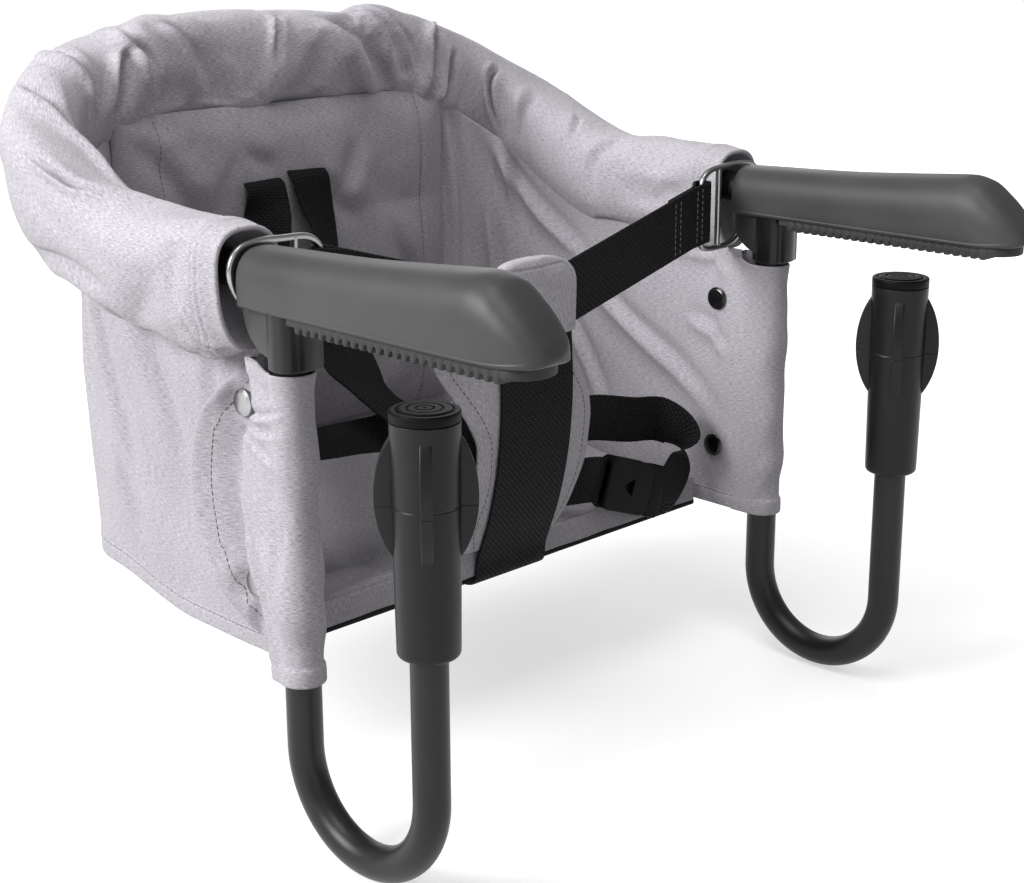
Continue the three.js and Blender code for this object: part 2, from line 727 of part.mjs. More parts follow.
function makeBolster() {
  const runs = spacedRuns(bolsterRun, bolster.frontSteps);
  const upright = new THREE.Vector3(0, 0, 1);
  const uprightRing = (run, outline) => ringAt({ ...hoopStation(run), over: upright }, outline);
  const outer = runs.map((run, index) => {
    const { halfWidth, top, bottom } = bolsterShape(run);
    const outline = roundedOutline(
      bolster.sides, halfWidth, top, bottom, bolster.upperPower, bolster.lowerPower,
    );
    const gathered = index % 2 ? bolster.fold : -bolster.fold;
    return uprightRing(run, outline.map(([across, over]) => [
      across * (over > 0 ? 1 + gathered / halfWidth : 1) + bolster.outward,
      over > 0 ? over + gathered : over,
    ]));
  });
  const inner = runs.map((run) => {
    const { halfWidth, top, bottom } = bolsterShape(run);
    const open = smooth((Math.abs(run) - bolsterRun + bolster.hemLength) / bolster.hemLength);
    const tunnel = circleOutline(bolster.tunnel, bolster.sides);
    const mouth = roundedOutline(
      bolster.sides, halfWidth - bolster.cloth, top - bolster.cloth, bottom - bolster.cloth,
      bolster.upperPower, bolster.lowerPower,
    );
    return ringAt(hoopStation(run), tunnel.map(([across, over], index) => [
      mix(across, mouth[index][0] + bolster.outward, open),
      mix(over, mouth[index][1], open),
    ]));
  });
  return sleeve(outer, inner);
}

// Walls: a point on the wall's middle surface at a run, a height share and an offset outward

const wallFrontRun = runAtY(wall.front);
const cornerMiddleRun = flatHalf + cornerRun / 2;

function wallInset(run, heightShare) {
  const forward = wallFrontRun - Math.abs(run);
  const lean = wall.lean * (1 - heightShare) ** 2 * smooth(forward / wall.leanRun);
  const front = wall.frontInset * (1 - smooth(forward / wall.frontRun));
  return wall.inward + lean + front;
}

function hemHeight(run) {
  const startRun = runAtY(wall.riseStart);
  return wall.hem + wall.hemRise * smooth((startRun - Math.abs(run)) / (wall.riseEnd - wall.riseStart));
}

// The wall ends under the bolster, and in front of it under the strap ring
function wallTop(run) {
  const underBolster = bolsterUnderside(run, -wallInset(run, 1)) - wall.topClear;
  const underRing = hoop.height + tube.radius + ring.bar - ring.height - gap;
  const ahead = smooth((Math.abs(run) - bolsterRun) / bolster.cloth + 1);
  return mix(underBolster, Math.min(underBolster, underRing), ahead);
}

function wallMiddleX(y, height) {
  const run = runAtY(y);
  const heightShare = (height - hemHeight(run)) / (wallTop(run) - hemHeight(run));
  return legOffset - wallInset(run, heightShare);
}

function wallPoint(run, heightShare, outward) {
  const plan = planAt(run);
  const inset = wallInset(run, heightShare);
  const top = wallTop(run);
  const wave = wall.fold * Math.sin(Math.abs(run) / wallFrontRun * fullTurn * wall.foldCount) * heightShare;
  const off = outward - inset + wave * smooth((wallFrontRun - Math.abs(run)) / wall.frontRun - 1);
  return new THREE.Vector3(
    plan.x + plan.outX * off,
    plan.y + plan.outY * off,
    mix(hemHeight(run), top, heightShare),
  );
}

function makeWall(fromRun, toRun, columns) {
  const grid = (outward) => shares(wall.rows).map((heightShare) => (
    shares(columns).map((share) => wallPoint(mix(fromRun, toRun, share), heightShare, outward))
  ));
  return thickSheet(grid(wall.thickness / 2), grid(-wall.thickness / 2));
}

// Back pad: a quilted panel on the inside of the back wall, pillowed between its stitch lines
function makeBackPad() {
  const top = bolsterUnderside(0, -wall.inward) - backPad.clearTop;
  const base = -wall.inward - wall.lean - wall.fold - wall.thickness / 2 - gap;
  const grid = (front) => shares(backPad.rows).map((heightShare) => (
    shares(backPad.columns).map((share) => {
      const x = mix(-backPad.halfWidth, backPad.halfWidth, share);
      const edge = Math.sin(Math.PI * share) ** 0.5 * Math.sin(Math.PI * heightShare) ** 0.5;
      const tuft = 0.75 + 0.25 * Math.abs(Math.sin(Math.PI * backPad.tufts * heightShare));
      const swell = front ? backPad.thickness + backPad.crown * edge * tuft : 0;
      return new THREE.Vector3(x, hoop.depth + base - swell, mix(backPad.bottom, top, heightShare));
    })
  ));
  return thickSheet(grid(true), grid(false));
}

// Seat pieces: sheets over the same plan, one above the other, lifted toward the back

function seatHalfWidth(y) {
  const inset = wall.inward + wall.lean + wall.thickness / 2 + seat.sideMargin;
  const radius = hoop.corner - inset;
  const into = Math.max(y - (hoop.depth - hoop.corner), 0);
  return flatHalf + Math.sqrt(Math.max(radius ** 2 - into ** 2, 0));
}

function seatLift(y) {
  return seat.rise * smooth(1 - (seatRear - y) / seat.riseRun);
}

function makeSeatSheet(bottom, thickness, crown, margin) {
  const grid = (upper) => shares(seat.rows).map((alongShare) => {
    const y = mix(seat.front + margin, seatRear - margin, alongShare);
    const half = seatHalfWidth(y) - margin;
    return shares(seat.columns).map((share) => {
      const dome = (Math.sin(Math.PI * share) * Math.sin(Math.PI * alongShare)) ** 0.6;
      const height = bottom + (upper ? thickness + crown * dome : 0);
      return new THREE.Vector3(mix(-half, half, share), y, height + seatLift(y));
    });
  });
  return thickSheet(grid(true), grid(false));
}

const seatRear = hoop.depth - seat.rearClear;
const boardBottom = seat.bottom + seat.cover + gap;
const cushionBottom = boardBottom + seat.board + gap * 2;
const padBottom = cushionBottom + seat.cushion + crotch.padClear;

// Leg flap: from the wall's front edge round the leg and back over the wall's outer face

function flapReach(height) {
  const upper = height > flap.bottom + flapHeight * flap.middleShare;
  const power = upper ? flap.upperPower : flap.lowerPower;
  const spanShare = upper ? flap.upperShare : flap.lowerShare;
  const off = Math.abs((height - flap.bottom) / flapHeight - flap.middleShare) / spanShare;
  return flap.least + flap.reach * Math.max(1 - off ** power, 0) ** (1 / power);
}

function flapTailPoint(y, outward) {
  const run = runAtY(y);
  const x = legOffset - wallInset(run, 1) + wall.thickness / 2 + flap.off + flap.thickness / 2 + outward;
  return new THREE.Vector2(x, y);
}

function flapRow(height, outward) {
  const radius = flap.radius + outward;
  const start = new THREE.Vector2(legOffset - radius, wall.front - gap * 2);
  const wrap = shares(flap.wrapSteps).map((share) => {
    const angle = mix(Math.PI, fullTurn + flap.wrapPast, share);
    return new THREE.Vector2(legOffset + radius * Math.cos(angle), radius * Math.sin(angle));
  });
  const wrapEnd = wrap.at(-1);
  const tail = shares(flap.tailSteps).slice(1).map((share) => {
    const y = mix(wrapEnd.y, flapReach(height), share);
    const settled = flapTailPoint(y, outward);
    settled.x = mix(wrapEnd.x, settled.x, smooth((y - wrapEnd.y) / (flap.meet - wrapEnd.y)));
    return settled;
  });
  return [start, ...wrap, ...tail].map((point) => new THREE.Vector3(point.x, point.y, height));
}

function makeLegFlap() {
  const heights = shares(flap.rows)
    .map((share) => mix(flap.bottom, flapTop, (1 - Math.cos(Math.PI * share)) / 2));
  const grid = (outward) => heights.map((height) => flapRow(height, outward));
  return thickSheet(grid(flap.thickness / 2), grid(-flap.thickness / 2));
}

// A snap's domed cap or flat stud, its back on the given X and facing the given way
function makeSnapDisc(radius, height, backX, facing) {
  const disc = turned([
    [0, 0], [radius, 0], [radius, height * 0.4], [radius * 0.7, height * 0.85], [0, height],
  ], snap.sides);
  disc.rotateY(facing * Math.PI / 2);
  disc.translate(backX, 0, 0);
  return disc;
}

function placeSnaps() {
  const capBack = flapTailPoint(snap.y + snap.capRadius, flap.thickness / 2).x + gap;
  ["lower", "upper"].forEach((level, index) => {
    const height = flap.bottom + flapHeight * snap.heightShares[index];
    const wallX = wallMiddleX(snap.y - snap.studRadius, height - snap.studRadius);
    const studBack = wallX - wall.thickness / 2 - gap;
    const capDisc = makeSnapDisc(snap.capRadius, snap.capHeight, capBack, 1);
    const studDisc = makeSnapDisc(snap.studRadius, snap.studHeight, studBack, -1);
    capDisc.translate(0, snap.y, height);
    studDisc.translate(0, snap.y, height);
    placePair(`snap_cap_${level}`, capDisc, platedSteel);
    placePair(`snap_stud_${level}`, studDisc, platedSteel);
  });
}

// Webbing: a flat ribbon along a curve, its width turned toward the given hints
function makeRibbon(route, hints, width, steps) {
  const knots = route.map((point) => new THREE.Vector3(...point));
  const path = new THREE.CatmullRomCurve3(knots, false, "centripetal");
  const lean = new THREE.CatmullRomCurve3(hints.map((hint) => new THREE.Vector3(...hint)));
  const grid = (side) => shares(steps).map((share) => {
    const along = path.getTangent(share);
    const across = lean.getPoint(share);
    across.addScaledVector(along, -across.dot(along)).normalize();
    const normal = along.clone().cross(across);
    return [-1, 1].map((edge) => path.getPoint(share)
      .addScaledVector(across, edge * width / 2)
      .addScaledVector(normal, side * webbing.thickness / 2));
  });
  return thickSheet(grid(1), grid(-1));
}

// Crotch webbing: down the front of the crotch pad, over the seat's front edge and under the seat
// Rows are [share of the seat's front edge, share of the rise from below the seat to the cap]
const crotchRouteShares = [
  [0.437, 1], [0.408, 0.746], [0.489, 0.497], [0.668, 0.279], [0.815, 0.163], [0.9, 0.093],
  [0.937, 0.022], [1.053, 0.003], [1.55, 0], [2.74, 0],
];
const crotchRoute = crotchRouteShares.map(([alongShare, riseShare]) => [
  0, seat.front * alongShare, mix(seat.bottom - crotch.under, capBottom - gap, riseShare),
]);
const crotchFront = crotchRoute.slice(0, 6).map(([, y, z]) => [z, y]).reverse();

function crotchDepthAt(height) {
  const held = Math.min(Math.max(height, crotchFront[0][0]), crotchFront.at(-1)[0]);
  return readShare(crotchFront, held) + webbing.thickness / 2 + runningGap;
}

// Rows are [share of the pad's height, share of its half width]
const crotchWidthShares = [
  [0, 0.62], [0.1, 0.76], [0.3, 0.84], [0.45, 0.8], [0.55, 0.78], [0.67, 0.84], [0.8, 0.98], [0.9, 1],
  [1, 0.9],
];

function makeCrotchPad() {
  const grid = (front) => shares(crotch.rows).map((heightShare) => {
    const z = mix(padBottom, padTop, heightShare);
    const half = crotch.padHalf * readShare(crotchWidthShares, heightShare);
    const endSwell = Math.sin(Math.PI * mix(0.06, 0.94, heightShare)) ** 0.5;
    return shares(crotch.columns).map((share) => {
      const swell = Math.sin(Math.PI * share) ** 0.5 * endSwell;
      const depth = front ? 0 : crotch.padThickness + crotch.padCrown * swell;
      return new THREE.Vector3(mix(-half, half, share), crotchDepthAt(z) + depth, z);
    });
  });
  return thickSheet(grid(true), grid(false));
}

function makeCrotchCap() {
  const rings = shares(cap.rings).map((share) => {
    const narrow = share < 0.6 ? 1 : Math.sqrt(Math.max(1 - ((share - 0.6) / 0.43) ** 2, 0));
    const fullness = narrow * Math.sin(Math.PI * mix(0.2, 0.6, share)) * 1.1;
    const halfDepth = cap.halfDepth * mix(0.4, 1, Math.min(fullness, 1));
    const halfWidth = cap.halfWidth * mix(0.3, 1, narrow);
    const station = {
      origin: new THREE.Vector3(cap.x, cap.y, mix(capBottom, capTop, share)),
      across: new THREE.Vector3(1, 0, 0),
      over: new THREE.Vector3(0, 1, 0),
    };
    const power = 3;
    return ringAt(station, roundedOutline(cap.sides, halfWidth, halfDepth, halfDepth, power, power));
  });
  return loft(rings);
}

// Diagonal strap: from the cap to the ring, round its inner bar and back on itself
function makeDiagonalStrap(start) {
  const bar = legOffset - ring.inner + ring.innerBar / 2;
  const bend = bar - diagonal.bendBack;
  const ringMiddle = hoop.height + tube.radius + gap + ring.bar - ring.height / 2;
  const slope = (ringMiddle - capTop + diagonal.startDrop) / (bend - start);
  const heightAt = (x) => ringMiddle - slope * Math.max(bend - x, 0);
  const wrapRadius = Math.hypot(ring.innerBar, ring.bar) / 2 + gap + webbing.thickness / 2;
  const wrap = shares(4).map((share) => {
    const angle = mix(-Math.PI / 2, Math.PI / 2, share);
    return [bar + wrapRadius * Math.cos(angle), ring.y + wrapRadius * Math.sin(angle)];
  });
  const frontY = ring.y - wrapRadius;
  const backY = frontY + webbing.thickness + gap;
  const lapEnd = bar - diagonal.lapBack;
  const nearBar = mix(lapEnd, bar, 0.6);
  const front = [start, lapEnd, nearBar].map((x) => [x, frontY]);
  const back = [nearBar, lapEnd].map((x) => [x, backY]);
  const planRoute = [...front, ...wrap, ...back];
  const grid = (side) => planRoute.map(([x, y], index) => {
    const before = planRoute[Math.max(index - 1, 0)];
    const after = planRoute[Math.min(index + 1, planRoute.length - 1)];
    const along = new THREE.Vector2(after[0] - before[0], after[1] - before[1]).normalize();
    const off = side * webbing.thickness / 2;
    return [-1, 1].map((edge) => new THREE.Vector3(
      x - along.y * off,
      y + along.x * off,
      heightAt(x) + edge * webbing.diagonal / 2,
    ));
  });
  return thickSheet(grid(1), grid(-1));
}

// The waist belt's routes, ending at the buckle
const upright = [0, 0, 1];
const sideways = [1, 0, 0];
const buckleAngle = -radians(buckle.tilt);
const buckleAxis = new THREE.Vector3(Math.cos(buckleAngle), 0, Math.sin(buckleAngle));
const buckleCentre = new THREE.Vector3(...buckle.at);
const buckleEnd = (distance) => buckleCentre.clone().addScaledVector(buckleAxis, distance).toArray();
const tongueOut = buckle.length / 2 + tongue.base + gap;
const strapLead = buckle.length / 2 + buckle.strapLead;

// Rows are shares of the leg offset, the hoop's depth and the hoop's height
const beltPoint = ([xShare, yShare, zShare]) => (
  [legOffset * xShare, hoop.depth * yShare, hoop.height * zShare]
);
const leftWaistShares = [
  [0, 0.9, 1.05], [-0.06, 0.875, 0.865], [-0.3, 0.81, 0.63], [-0.58, 0.64, 0.42], [-0.66, 0.43, 0.325],
  [-0.53, 0.298, 0.318], [-0.37, 0.276, 0.313], [-0.12, 0.255, 0.304], [0.18, 0.222, 0.294],
];
const leftWaistRoute = [
  ...leftWaistShares.map(beltPoint), buckleEnd(-strapLead), buckleEnd(-buckle.length / 2 - gap * 2),
];
const leftWaistHints = [sideways, sideways, upright, upright, upright, upright, upright];
const rightWaistShares = [
  [-0.21, 0.9, 1.03], [-0.28, 0.875, 0.9], [-0.5, 0.78, 0.79], [-0.76, 0.63, 0.75], [-0.81, 0.444, 0.75],
  [-0.687, 0.315, 0.755], [-0.479, 0.273, 0.721], [-0.245, 0.25, 0.606], [0.012, 0.231, 0.495],
  [0.276, 0.231, 0.457], [0.466, 0.231, 0.442], [0.712, 0.231, 0.37], [0.865, 0.213, 0.337],
  [0.877, 0.171, 0.284], [0.834, 0.157, 0.24],
];
const rightWaistRoute = [
  ...rightWaistShares.map(beltPoint), buckleEnd(strapLead + tongue.base), buckleEnd(tongueOut + gap * 2),
];
const rightWaistHints = [
  sideways, sideways, upright, upright, upright, upright, upright, upright, upright, upright,
];
const beltTailShares = [[-0.37, 0.2655, 0.313], [-0.12, 0.2445, 0.304], [0.1, 0.222, 0.298]];

// Buckle: drawn along X about its own centre, then tilted and set in place

function setBuckle(geometry) {
  geometry.rotateY(-buckleAngle);
  geometry.translate(...buckle.at);
  return geometry;
}

function facingFront(shape, depth, curveSegments) {
  const solid = prism(shape, depth, curveSegments);
  solid.translate(0, 0, -depth / 2);
  solid.rotateX(Math.PI / 2);
  return solid;
}

function makeBuckleBody() {
  const outline = roundedRectangle(buckle.length, buckle.height, buckle.corner);
  const shell = facingFront(outline, buckle.thickness, 3);
  const mouth = new THREE.BoxGeometry(buckle.cavity + overrun, buckle.cavityDepth, buckle.cavityHeight);
  mouth.translate((buckle.length - buckle.cavity + overrun) / 2, 0, 0);
  const windows = new THREE.BoxGeometry(buckle.window, buckle.cavityDepth, buckle.height + overrun * 2);
  windows.translate(buckle.length / 2 - buckle.cavity / 2, 0, 0);
  return setBuckle(cut(shell, [mouth, windows]));
}

function makeBuckleTongue() {
  const start = buckle.length / 2 + gap;
  const outline = roundedRectangle(tongue.base, buckle.height, buckle.corner / 2);
  const base = facingFront(outline, buckle.thickness * 0.8, 3);
  base.translate(start + tongue.base / 2, 0, 0);
  const slot = new THREE.BoxGeometry(tongue.base - buckle.bar * 2, buckle.thickness, webbing.waist + gap);
  slot.translate(start + tongue.base / 2, 0, 0);
  const reach = Math.min(tongue.prong, buckle.cavity - runningGap);
  const outerPlace = buckle.cavityHeight / 2 - runningGap - tongue.prongHeight / 2;
  const prongs = [[-outerPlace, tongue.prongHeight], [0, tongue.centre], [outerPlace, tongue.prongHeight]]
    .map(([z, height]) => {
      const prong = new THREE.BoxGeometry(reach + buckle.bar, tongue.thickness, height);
      prong.translate(start - reach / 2 + buckle.bar / 2, 0, z);
      return prong;
    });
  return setBuckle(fuse([cut(base, [slot]), ...prongs]));
}

function build() {
  chair.position.z = -soleTip;
  place("hoop_tube", makeHoopTube(), powderCoat);
  placePair("elbow", makeElbow(), blackPlastic, legOffset);
  placePair("arm_cover", makeArmCover(), armRubber, legOffset);
  placePair("arm_grip", makeArmGrip(), soleRubber, legOffset);
  placePair("strap_ring", makeStrapRing(), platedSteel, legOffset);

  placePair("hook_tube", makeHookTube(), powderCoat, legOffset);
  placePair("leg_plug", makeLegPlug(), blackPlastic, legOffset);
  placePair("pivot_bolt", makePivotBolt(), zincSteel, legOffset);
  placePair("clamp_screw", makeClampScrew(), zincSteel, legOffset, -hook.reach);
  placeClamp("right", 1);
  placeClamp("left", -1);

  place("bolster", makeBolster(), fabric);
  placePair("side_panel", makeWall(wallFrontRun, cornerMiddleRun + gap, wall.sideColumns), fabric);
  place("back_panel", makeWall(cornerMiddleRun - gap, gap - cornerMiddleRun, wall.backColumns), fabric);
  place("back_pad", makeBackPad(), liningFabric);
  place("base_cover", makeSeatSheet(seat.bottom, seat.cover, 0, 0), blackFabric);
  place("seat_board", makeSeatSheet(boardBottom, seat.board, 0, seat.sideMargin), boardWood);
  place("seat_cushion", makeSeatSheet(cushionBottom, seat.cushion, seat.crown, 0), fabric);
  placePair("leg_flap", makeLegFlap(), fabric);
  placeSnaps();

  place("crotch_pad", makeCrotchPad(), fabric);
  place("crotch_cap", makeCrotchCap(), fabric);
  const crotchStrap = makeRibbon(crotchRoute, [sideways, sideways], webbing.crotch, 18);
  place("crotch_strap", crotchStrap, blackWebbing);
  place("right_diagonal_strap", makeDiagonalStrap(diagonal.past + cap.x), blackWebbing);
  place("left_diagonal_strap", mirrored(makeDiagonalStrap(diagonal.past - cap.x)), blackWebbing);
  const leftWaist = makeRibbon(leftWaistRoute, leftWaistHints, webbing.waist, 26);
  const rightWaist = makeRibbon(rightWaistRoute, rightWaistHints, webbing.waist, 26);
  const beltTail = makeRibbon(beltTailShares.map(beltPoint), [upright, upright], webbing.waist, 10);
  place("left_waist_strap", leftWaist, blackWebbing);
  place("right_waist_strap", rightWaist, blackWebbing);
  place("belt_tail", beltTail, blackWebbing);
  place("buckle_body", makeBuckleBody(), blackPlastic);
  place("buckle_tongue", makeBuckleTongue(), blackPlastic);
}

build();

export default chair;
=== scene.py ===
import math
import bmesh
import bpy
import numpy as np
from mathutils import Matrix


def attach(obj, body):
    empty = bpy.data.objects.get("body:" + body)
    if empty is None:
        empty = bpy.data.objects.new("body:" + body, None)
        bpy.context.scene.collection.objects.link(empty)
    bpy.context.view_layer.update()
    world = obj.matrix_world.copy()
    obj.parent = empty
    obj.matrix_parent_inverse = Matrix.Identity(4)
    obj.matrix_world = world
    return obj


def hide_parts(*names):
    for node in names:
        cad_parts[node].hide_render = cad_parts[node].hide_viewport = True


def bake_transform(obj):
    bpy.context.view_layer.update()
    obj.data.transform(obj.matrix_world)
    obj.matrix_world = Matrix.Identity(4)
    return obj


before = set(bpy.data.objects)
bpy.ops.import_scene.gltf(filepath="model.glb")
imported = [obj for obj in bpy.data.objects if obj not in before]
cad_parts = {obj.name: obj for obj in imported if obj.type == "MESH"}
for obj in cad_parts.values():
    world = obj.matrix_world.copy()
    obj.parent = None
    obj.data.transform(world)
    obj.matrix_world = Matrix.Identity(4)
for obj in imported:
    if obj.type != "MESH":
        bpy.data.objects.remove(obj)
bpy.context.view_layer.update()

# Shapes are worked out in millimetres, with heights counted from the centres of the hooks' bends.
# The arms' soles, where the part's origin lies, are this much higher.
soleHeight = 190
millimetre = 0.001
fullTurn = 2 * math.pi


# Small sums that every piece uses

def mix(first, second, share):
    return first + (second - first) * share


def smooth(share):
    held = np.clip(share, 0, 1)
    return held * held * (3 - 2 * held)


def unit(vectors):
    return vectors / np.maximum(np.linalg.norm(vectors, axis=-1, keepdims=True), 1e-9)


def xyz(x, y, z):
    return np.stack(np.broadcast_arrays(x, y, z), -1).astype(float)


def readThrough(places, values, at):  # a smooth curve through given values, with no overshoot
    places, values = np.asarray(places, float), np.asarray(values, float)
    slopes = np.diff(values) / np.diff(places)
    before, after = np.append(slopes[:1], slopes), np.append(slopes, slopes[-1:])
    steady = before * after > 0
    tangents = np.where(steady, 2 * before * after / np.where(steady, before + after, 1), 0)
    held = np.clip(at, places[0], places[-1])
    low = np.clip(np.searchsorted(places, held) - 1, 0, len(places) - 2)
    width = places[low + 1] - places[low]
    share = (held - places[low]) / width
    square, cube = share ** 2, share ** 3
    return ((2 * cube - 3 * square + 1) * values[low] + (cube - 2 * square + share) * width * tangents[low]
            + (3 * square - 2 * cube) * values[low + 1] + (cube - square) * width * tangents[low + 1])


def edgedShares(length, edge, step):  # shares of a length, close together within the edge at both ends
    inner = np.linspace(edge, length - edge, max(int((length - 2 * edge) / step), 2) + 1)
    near = edge * np.array([0, 0.05, 0.18, 0.42, 0.7])
    return np.concatenate([near, inner, length - near[::-1]]) / length


def bell(off, width):  # 1 in the middle, falling smoothly to 0 on both sides
    return np.exp(-(off / width) ** 2)


def rounding(border, radius):  # share of the full height near a round edge
    return np.sqrt(1 - (1 - np.clip(border / radius, 0, 1)) ** 2)


def towards(angles):  # directions on a plane
    return np.stack([np.cos(angles), np.sin(angles)], -1)


def signedPower(value, power):  # a power that keeps the value's sign
    return np.sign(value) * np.abs(value) ** power


def ovalPoint(turn, halfWidth, top, bottom, powers):
    # a closed oval whose upper and lower halves have their own height and squareness
    cosine, sine = np.cos(turn), np.sin(turn)
    power = 2 / np.where(sine >= 0, *powers)
    over = np.where(sine >= 0, top, bottom) * signedPower(sine, power)
    return halfWidth * signedPower(cosine, power), over


def sameWay(direction, places):  # one direction for every place
    return np.broadcast_to(np.array(direction, float), places.shape)


def roundedBox(width, height, radius, steps=6):  # outline of a rectangle with round corners
    quarter = np.linspace(0, math.pi / 2, steps + 1)
    corners = []
    for place, (side, level) in enumerate([(1, 1), (-1, 1), (-1, -1), (1, -1)]):
        turn = quarter + place * math.pi / 2
        middle = np.array([side * (width / 2 - radius), level * (height / 2 - radius)])
        corners.append(middle + radius * towards(turn))
    return np.concatenate(corners)


def carried(origins, across, over, outline):
    # outline points carried along a path: origin + across * first + over * second
    outline = np.broadcast_to(outline, (len(origins),) + np.shape(outline)[-2:])
    return origins[:, None] + across[:, None] * outline[..., :1] + over[:, None] * outline[..., 1:]


def closedEnds(grid, inset=0.0):  # adds a row at each end in which all points meet in the middle
    first, last = grid[:1].mean(1, keepdims=True), grid[-1:].mean(1, keepdims=True)
    start, end = [grid[:1] * 0 + first], [grid[-1:] * 0 + last]
    if inset:
        start.append(mix(grid[:1], first, inset))
        end.insert(0, mix(grid[-1:], last, inset))
    return np.concatenate(start + [grid] + end)


def turned(profile, sides=48):  # a profile of (radius, height) turned about the vertical axis
    profile = np.asarray(profile, float)
    turn = np.linspace(0, fullTurn, sides, endpoint=False)
    return xyz(profile[:, :1] * np.cos(turn), profile[:, :1] * np.sin(turn), profile[:, 1:])


def pathFrames(points, upHint):  # tangents of a path with a width direction near the hint and a normal
    along = unit(np.gradient(points, axis=0))
    hint = np.broadcast_to(np.asarray(upHint, float), points.shape)
    across = unit(hint - along * (hint * along).sum(1, keepdims=True))
    return along, across, unit(np.cross(along, across))


def splined(knots, steps=24):
    # a smooth curve through the knots, as a line of points, paced by the root of the knots' distances
    knots = np.asarray(knots, float)
    if len(knots) == 2:
        return np.linspace(knots[0], knots[1], steps + 1)
    padded = np.concatenate([[2 * knots[0] - knots[1]], knots, [2 * knots[-1] - knots[-2]]])
    times = np.append(0, np.cumsum(np.maximum(np.linalg.norm(np.diff(padded, axis=0), axis=1), 1e-9) ** 0.5))
    fine = []
    for place in range(1, len(padded) - 2):
        t0, t1, t2, t3 = times[place - 1:place + 3]
        p0, p1, p2, p3 = padded[place - 1:place + 3]
        t = np.linspace(t1, t2, steps, endpoint=False)[:, None]
        a1, a2 = mix(p0, p1, (t - t0) / (t1 - t0)), mix(p1, p2, (t - t1) / (t2 - t1))
        a3 = mix(p2, p3, (t - t2) / (t3 - t2))
        b1, b2 = mix(a1, a2, (t - t0) / (t2 - t0)), mix(a2, a3, (t - t1) / (t3 - t1))
        fine.append(mix(b1, b2, (t - t1) / (t2 - t1)))
    return np.concatenate(fine + [knots[-1:]])


# Meshes from grids of points

def gridFaces(grid, around):
    # quads over a grid of points and the place of each corner on the flat cloth, in millimetres
    rows, columns = grid.shape[:2]
    closed = np.concatenate([grid, grid[:, :1]], 1) if around else grid
    u = np.append(0, np.cumsum(np.linalg.norm(np.diff(closed, axis=1), axis=2).mean(0)))
    v = np.append(0, np.cumsum(np.linalg.norm(np.diff(grid, axis=0), axis=2).mean(1)))
    row, column = np.meshgrid(np.arange(rows - 1), np.arange(len(u) - 1), indexing="ij")
    after = (column + 1) % columns
    quads = np.stack([row * columns + column, row * columns + after,
                      (row + 1) * columns + after, (row + 1) * columns + column], -1).reshape(-1, 4)
    cell = ((column, row), (column + 1, row), (column + 1, row + 1), (column, row + 1))
    corners = np.stack([np.stack([u[across], v[down]], -1) for across, down in cell], -2)
    return grid.reshape(-1, 3), quads, corners.reshape(-1, 4, 2)


weld = 0.01 * millimetre


def makePiece(name, grids, finish, body, nodes=(), sharp=None):
    # grids are (points, around) pairs; their shared borders are welded into closed surfaces
    points, quads, corners, first = [], [], [], 0
    for grid, around in grids:
        gridPoints, gridQuads, gridCorners = gridFaces(grid, around)
        points.append(gridPoints)
        quads.append(gridQuads + first)
        corners.append(gridCorners)
        first += len(gridPoints)
    placed = (np.concatenate(points) - (0, 0, soleHeight)) * millimetre
    mesh = bpy.data.meshes.new(name)
    mesh.from_pydata(placed.tolist(), [], np.concatenate(quads).tolist())
    flat = mesh.uv_layers.new(name="flat")
    flat.data.foreach_set("uv", np.concatenate(corners).ravel())
    work = bmesh.new()
    work.from_mesh(mesh)
    bmesh.ops.remove_doubles(work, verts=work.verts, dist=weld)
    bmesh.ops.dissolve_degenerate(work, edges=work.edges, dist=weld * 0.1)
    bmesh.ops.recalc_face_normals(work, faces=work.faces)
    work.to_mesh(mesh)
    work.free()
    mesh.shade_smooth()
    if sharp:
        mesh.set_sharp_from_angle(angle=math.radians(sharp))
    piece = bpy.data.objects.new(name, mesh)
    bpy.context.scene.collection.objects.link(piece)
    mesh.materials.append(finish)
    if body:
        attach(piece, body)
    if nodes:
        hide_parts(*nodes)
    return piece


def mirroredGrids(grids):
    return [(grid * (-1, 1, 1), around) for grid, around in grids]


def makePair(name, grids, finish, body, sharp=None, node=None):
    # the right-hand piece as drawn and its mirror image on the left
    pieces = []
    for side, own in (("right", grids), ("left", mirroredGrids(grids))):
        target = body if body == "frame" else side + "_" + body
        nodes = [side + "_" + (node or name)] if node != "" else []
        pieces.append(makePiece(side + "_" + name, own, finish, target, nodes, sharp))
    return pieces


# Materials

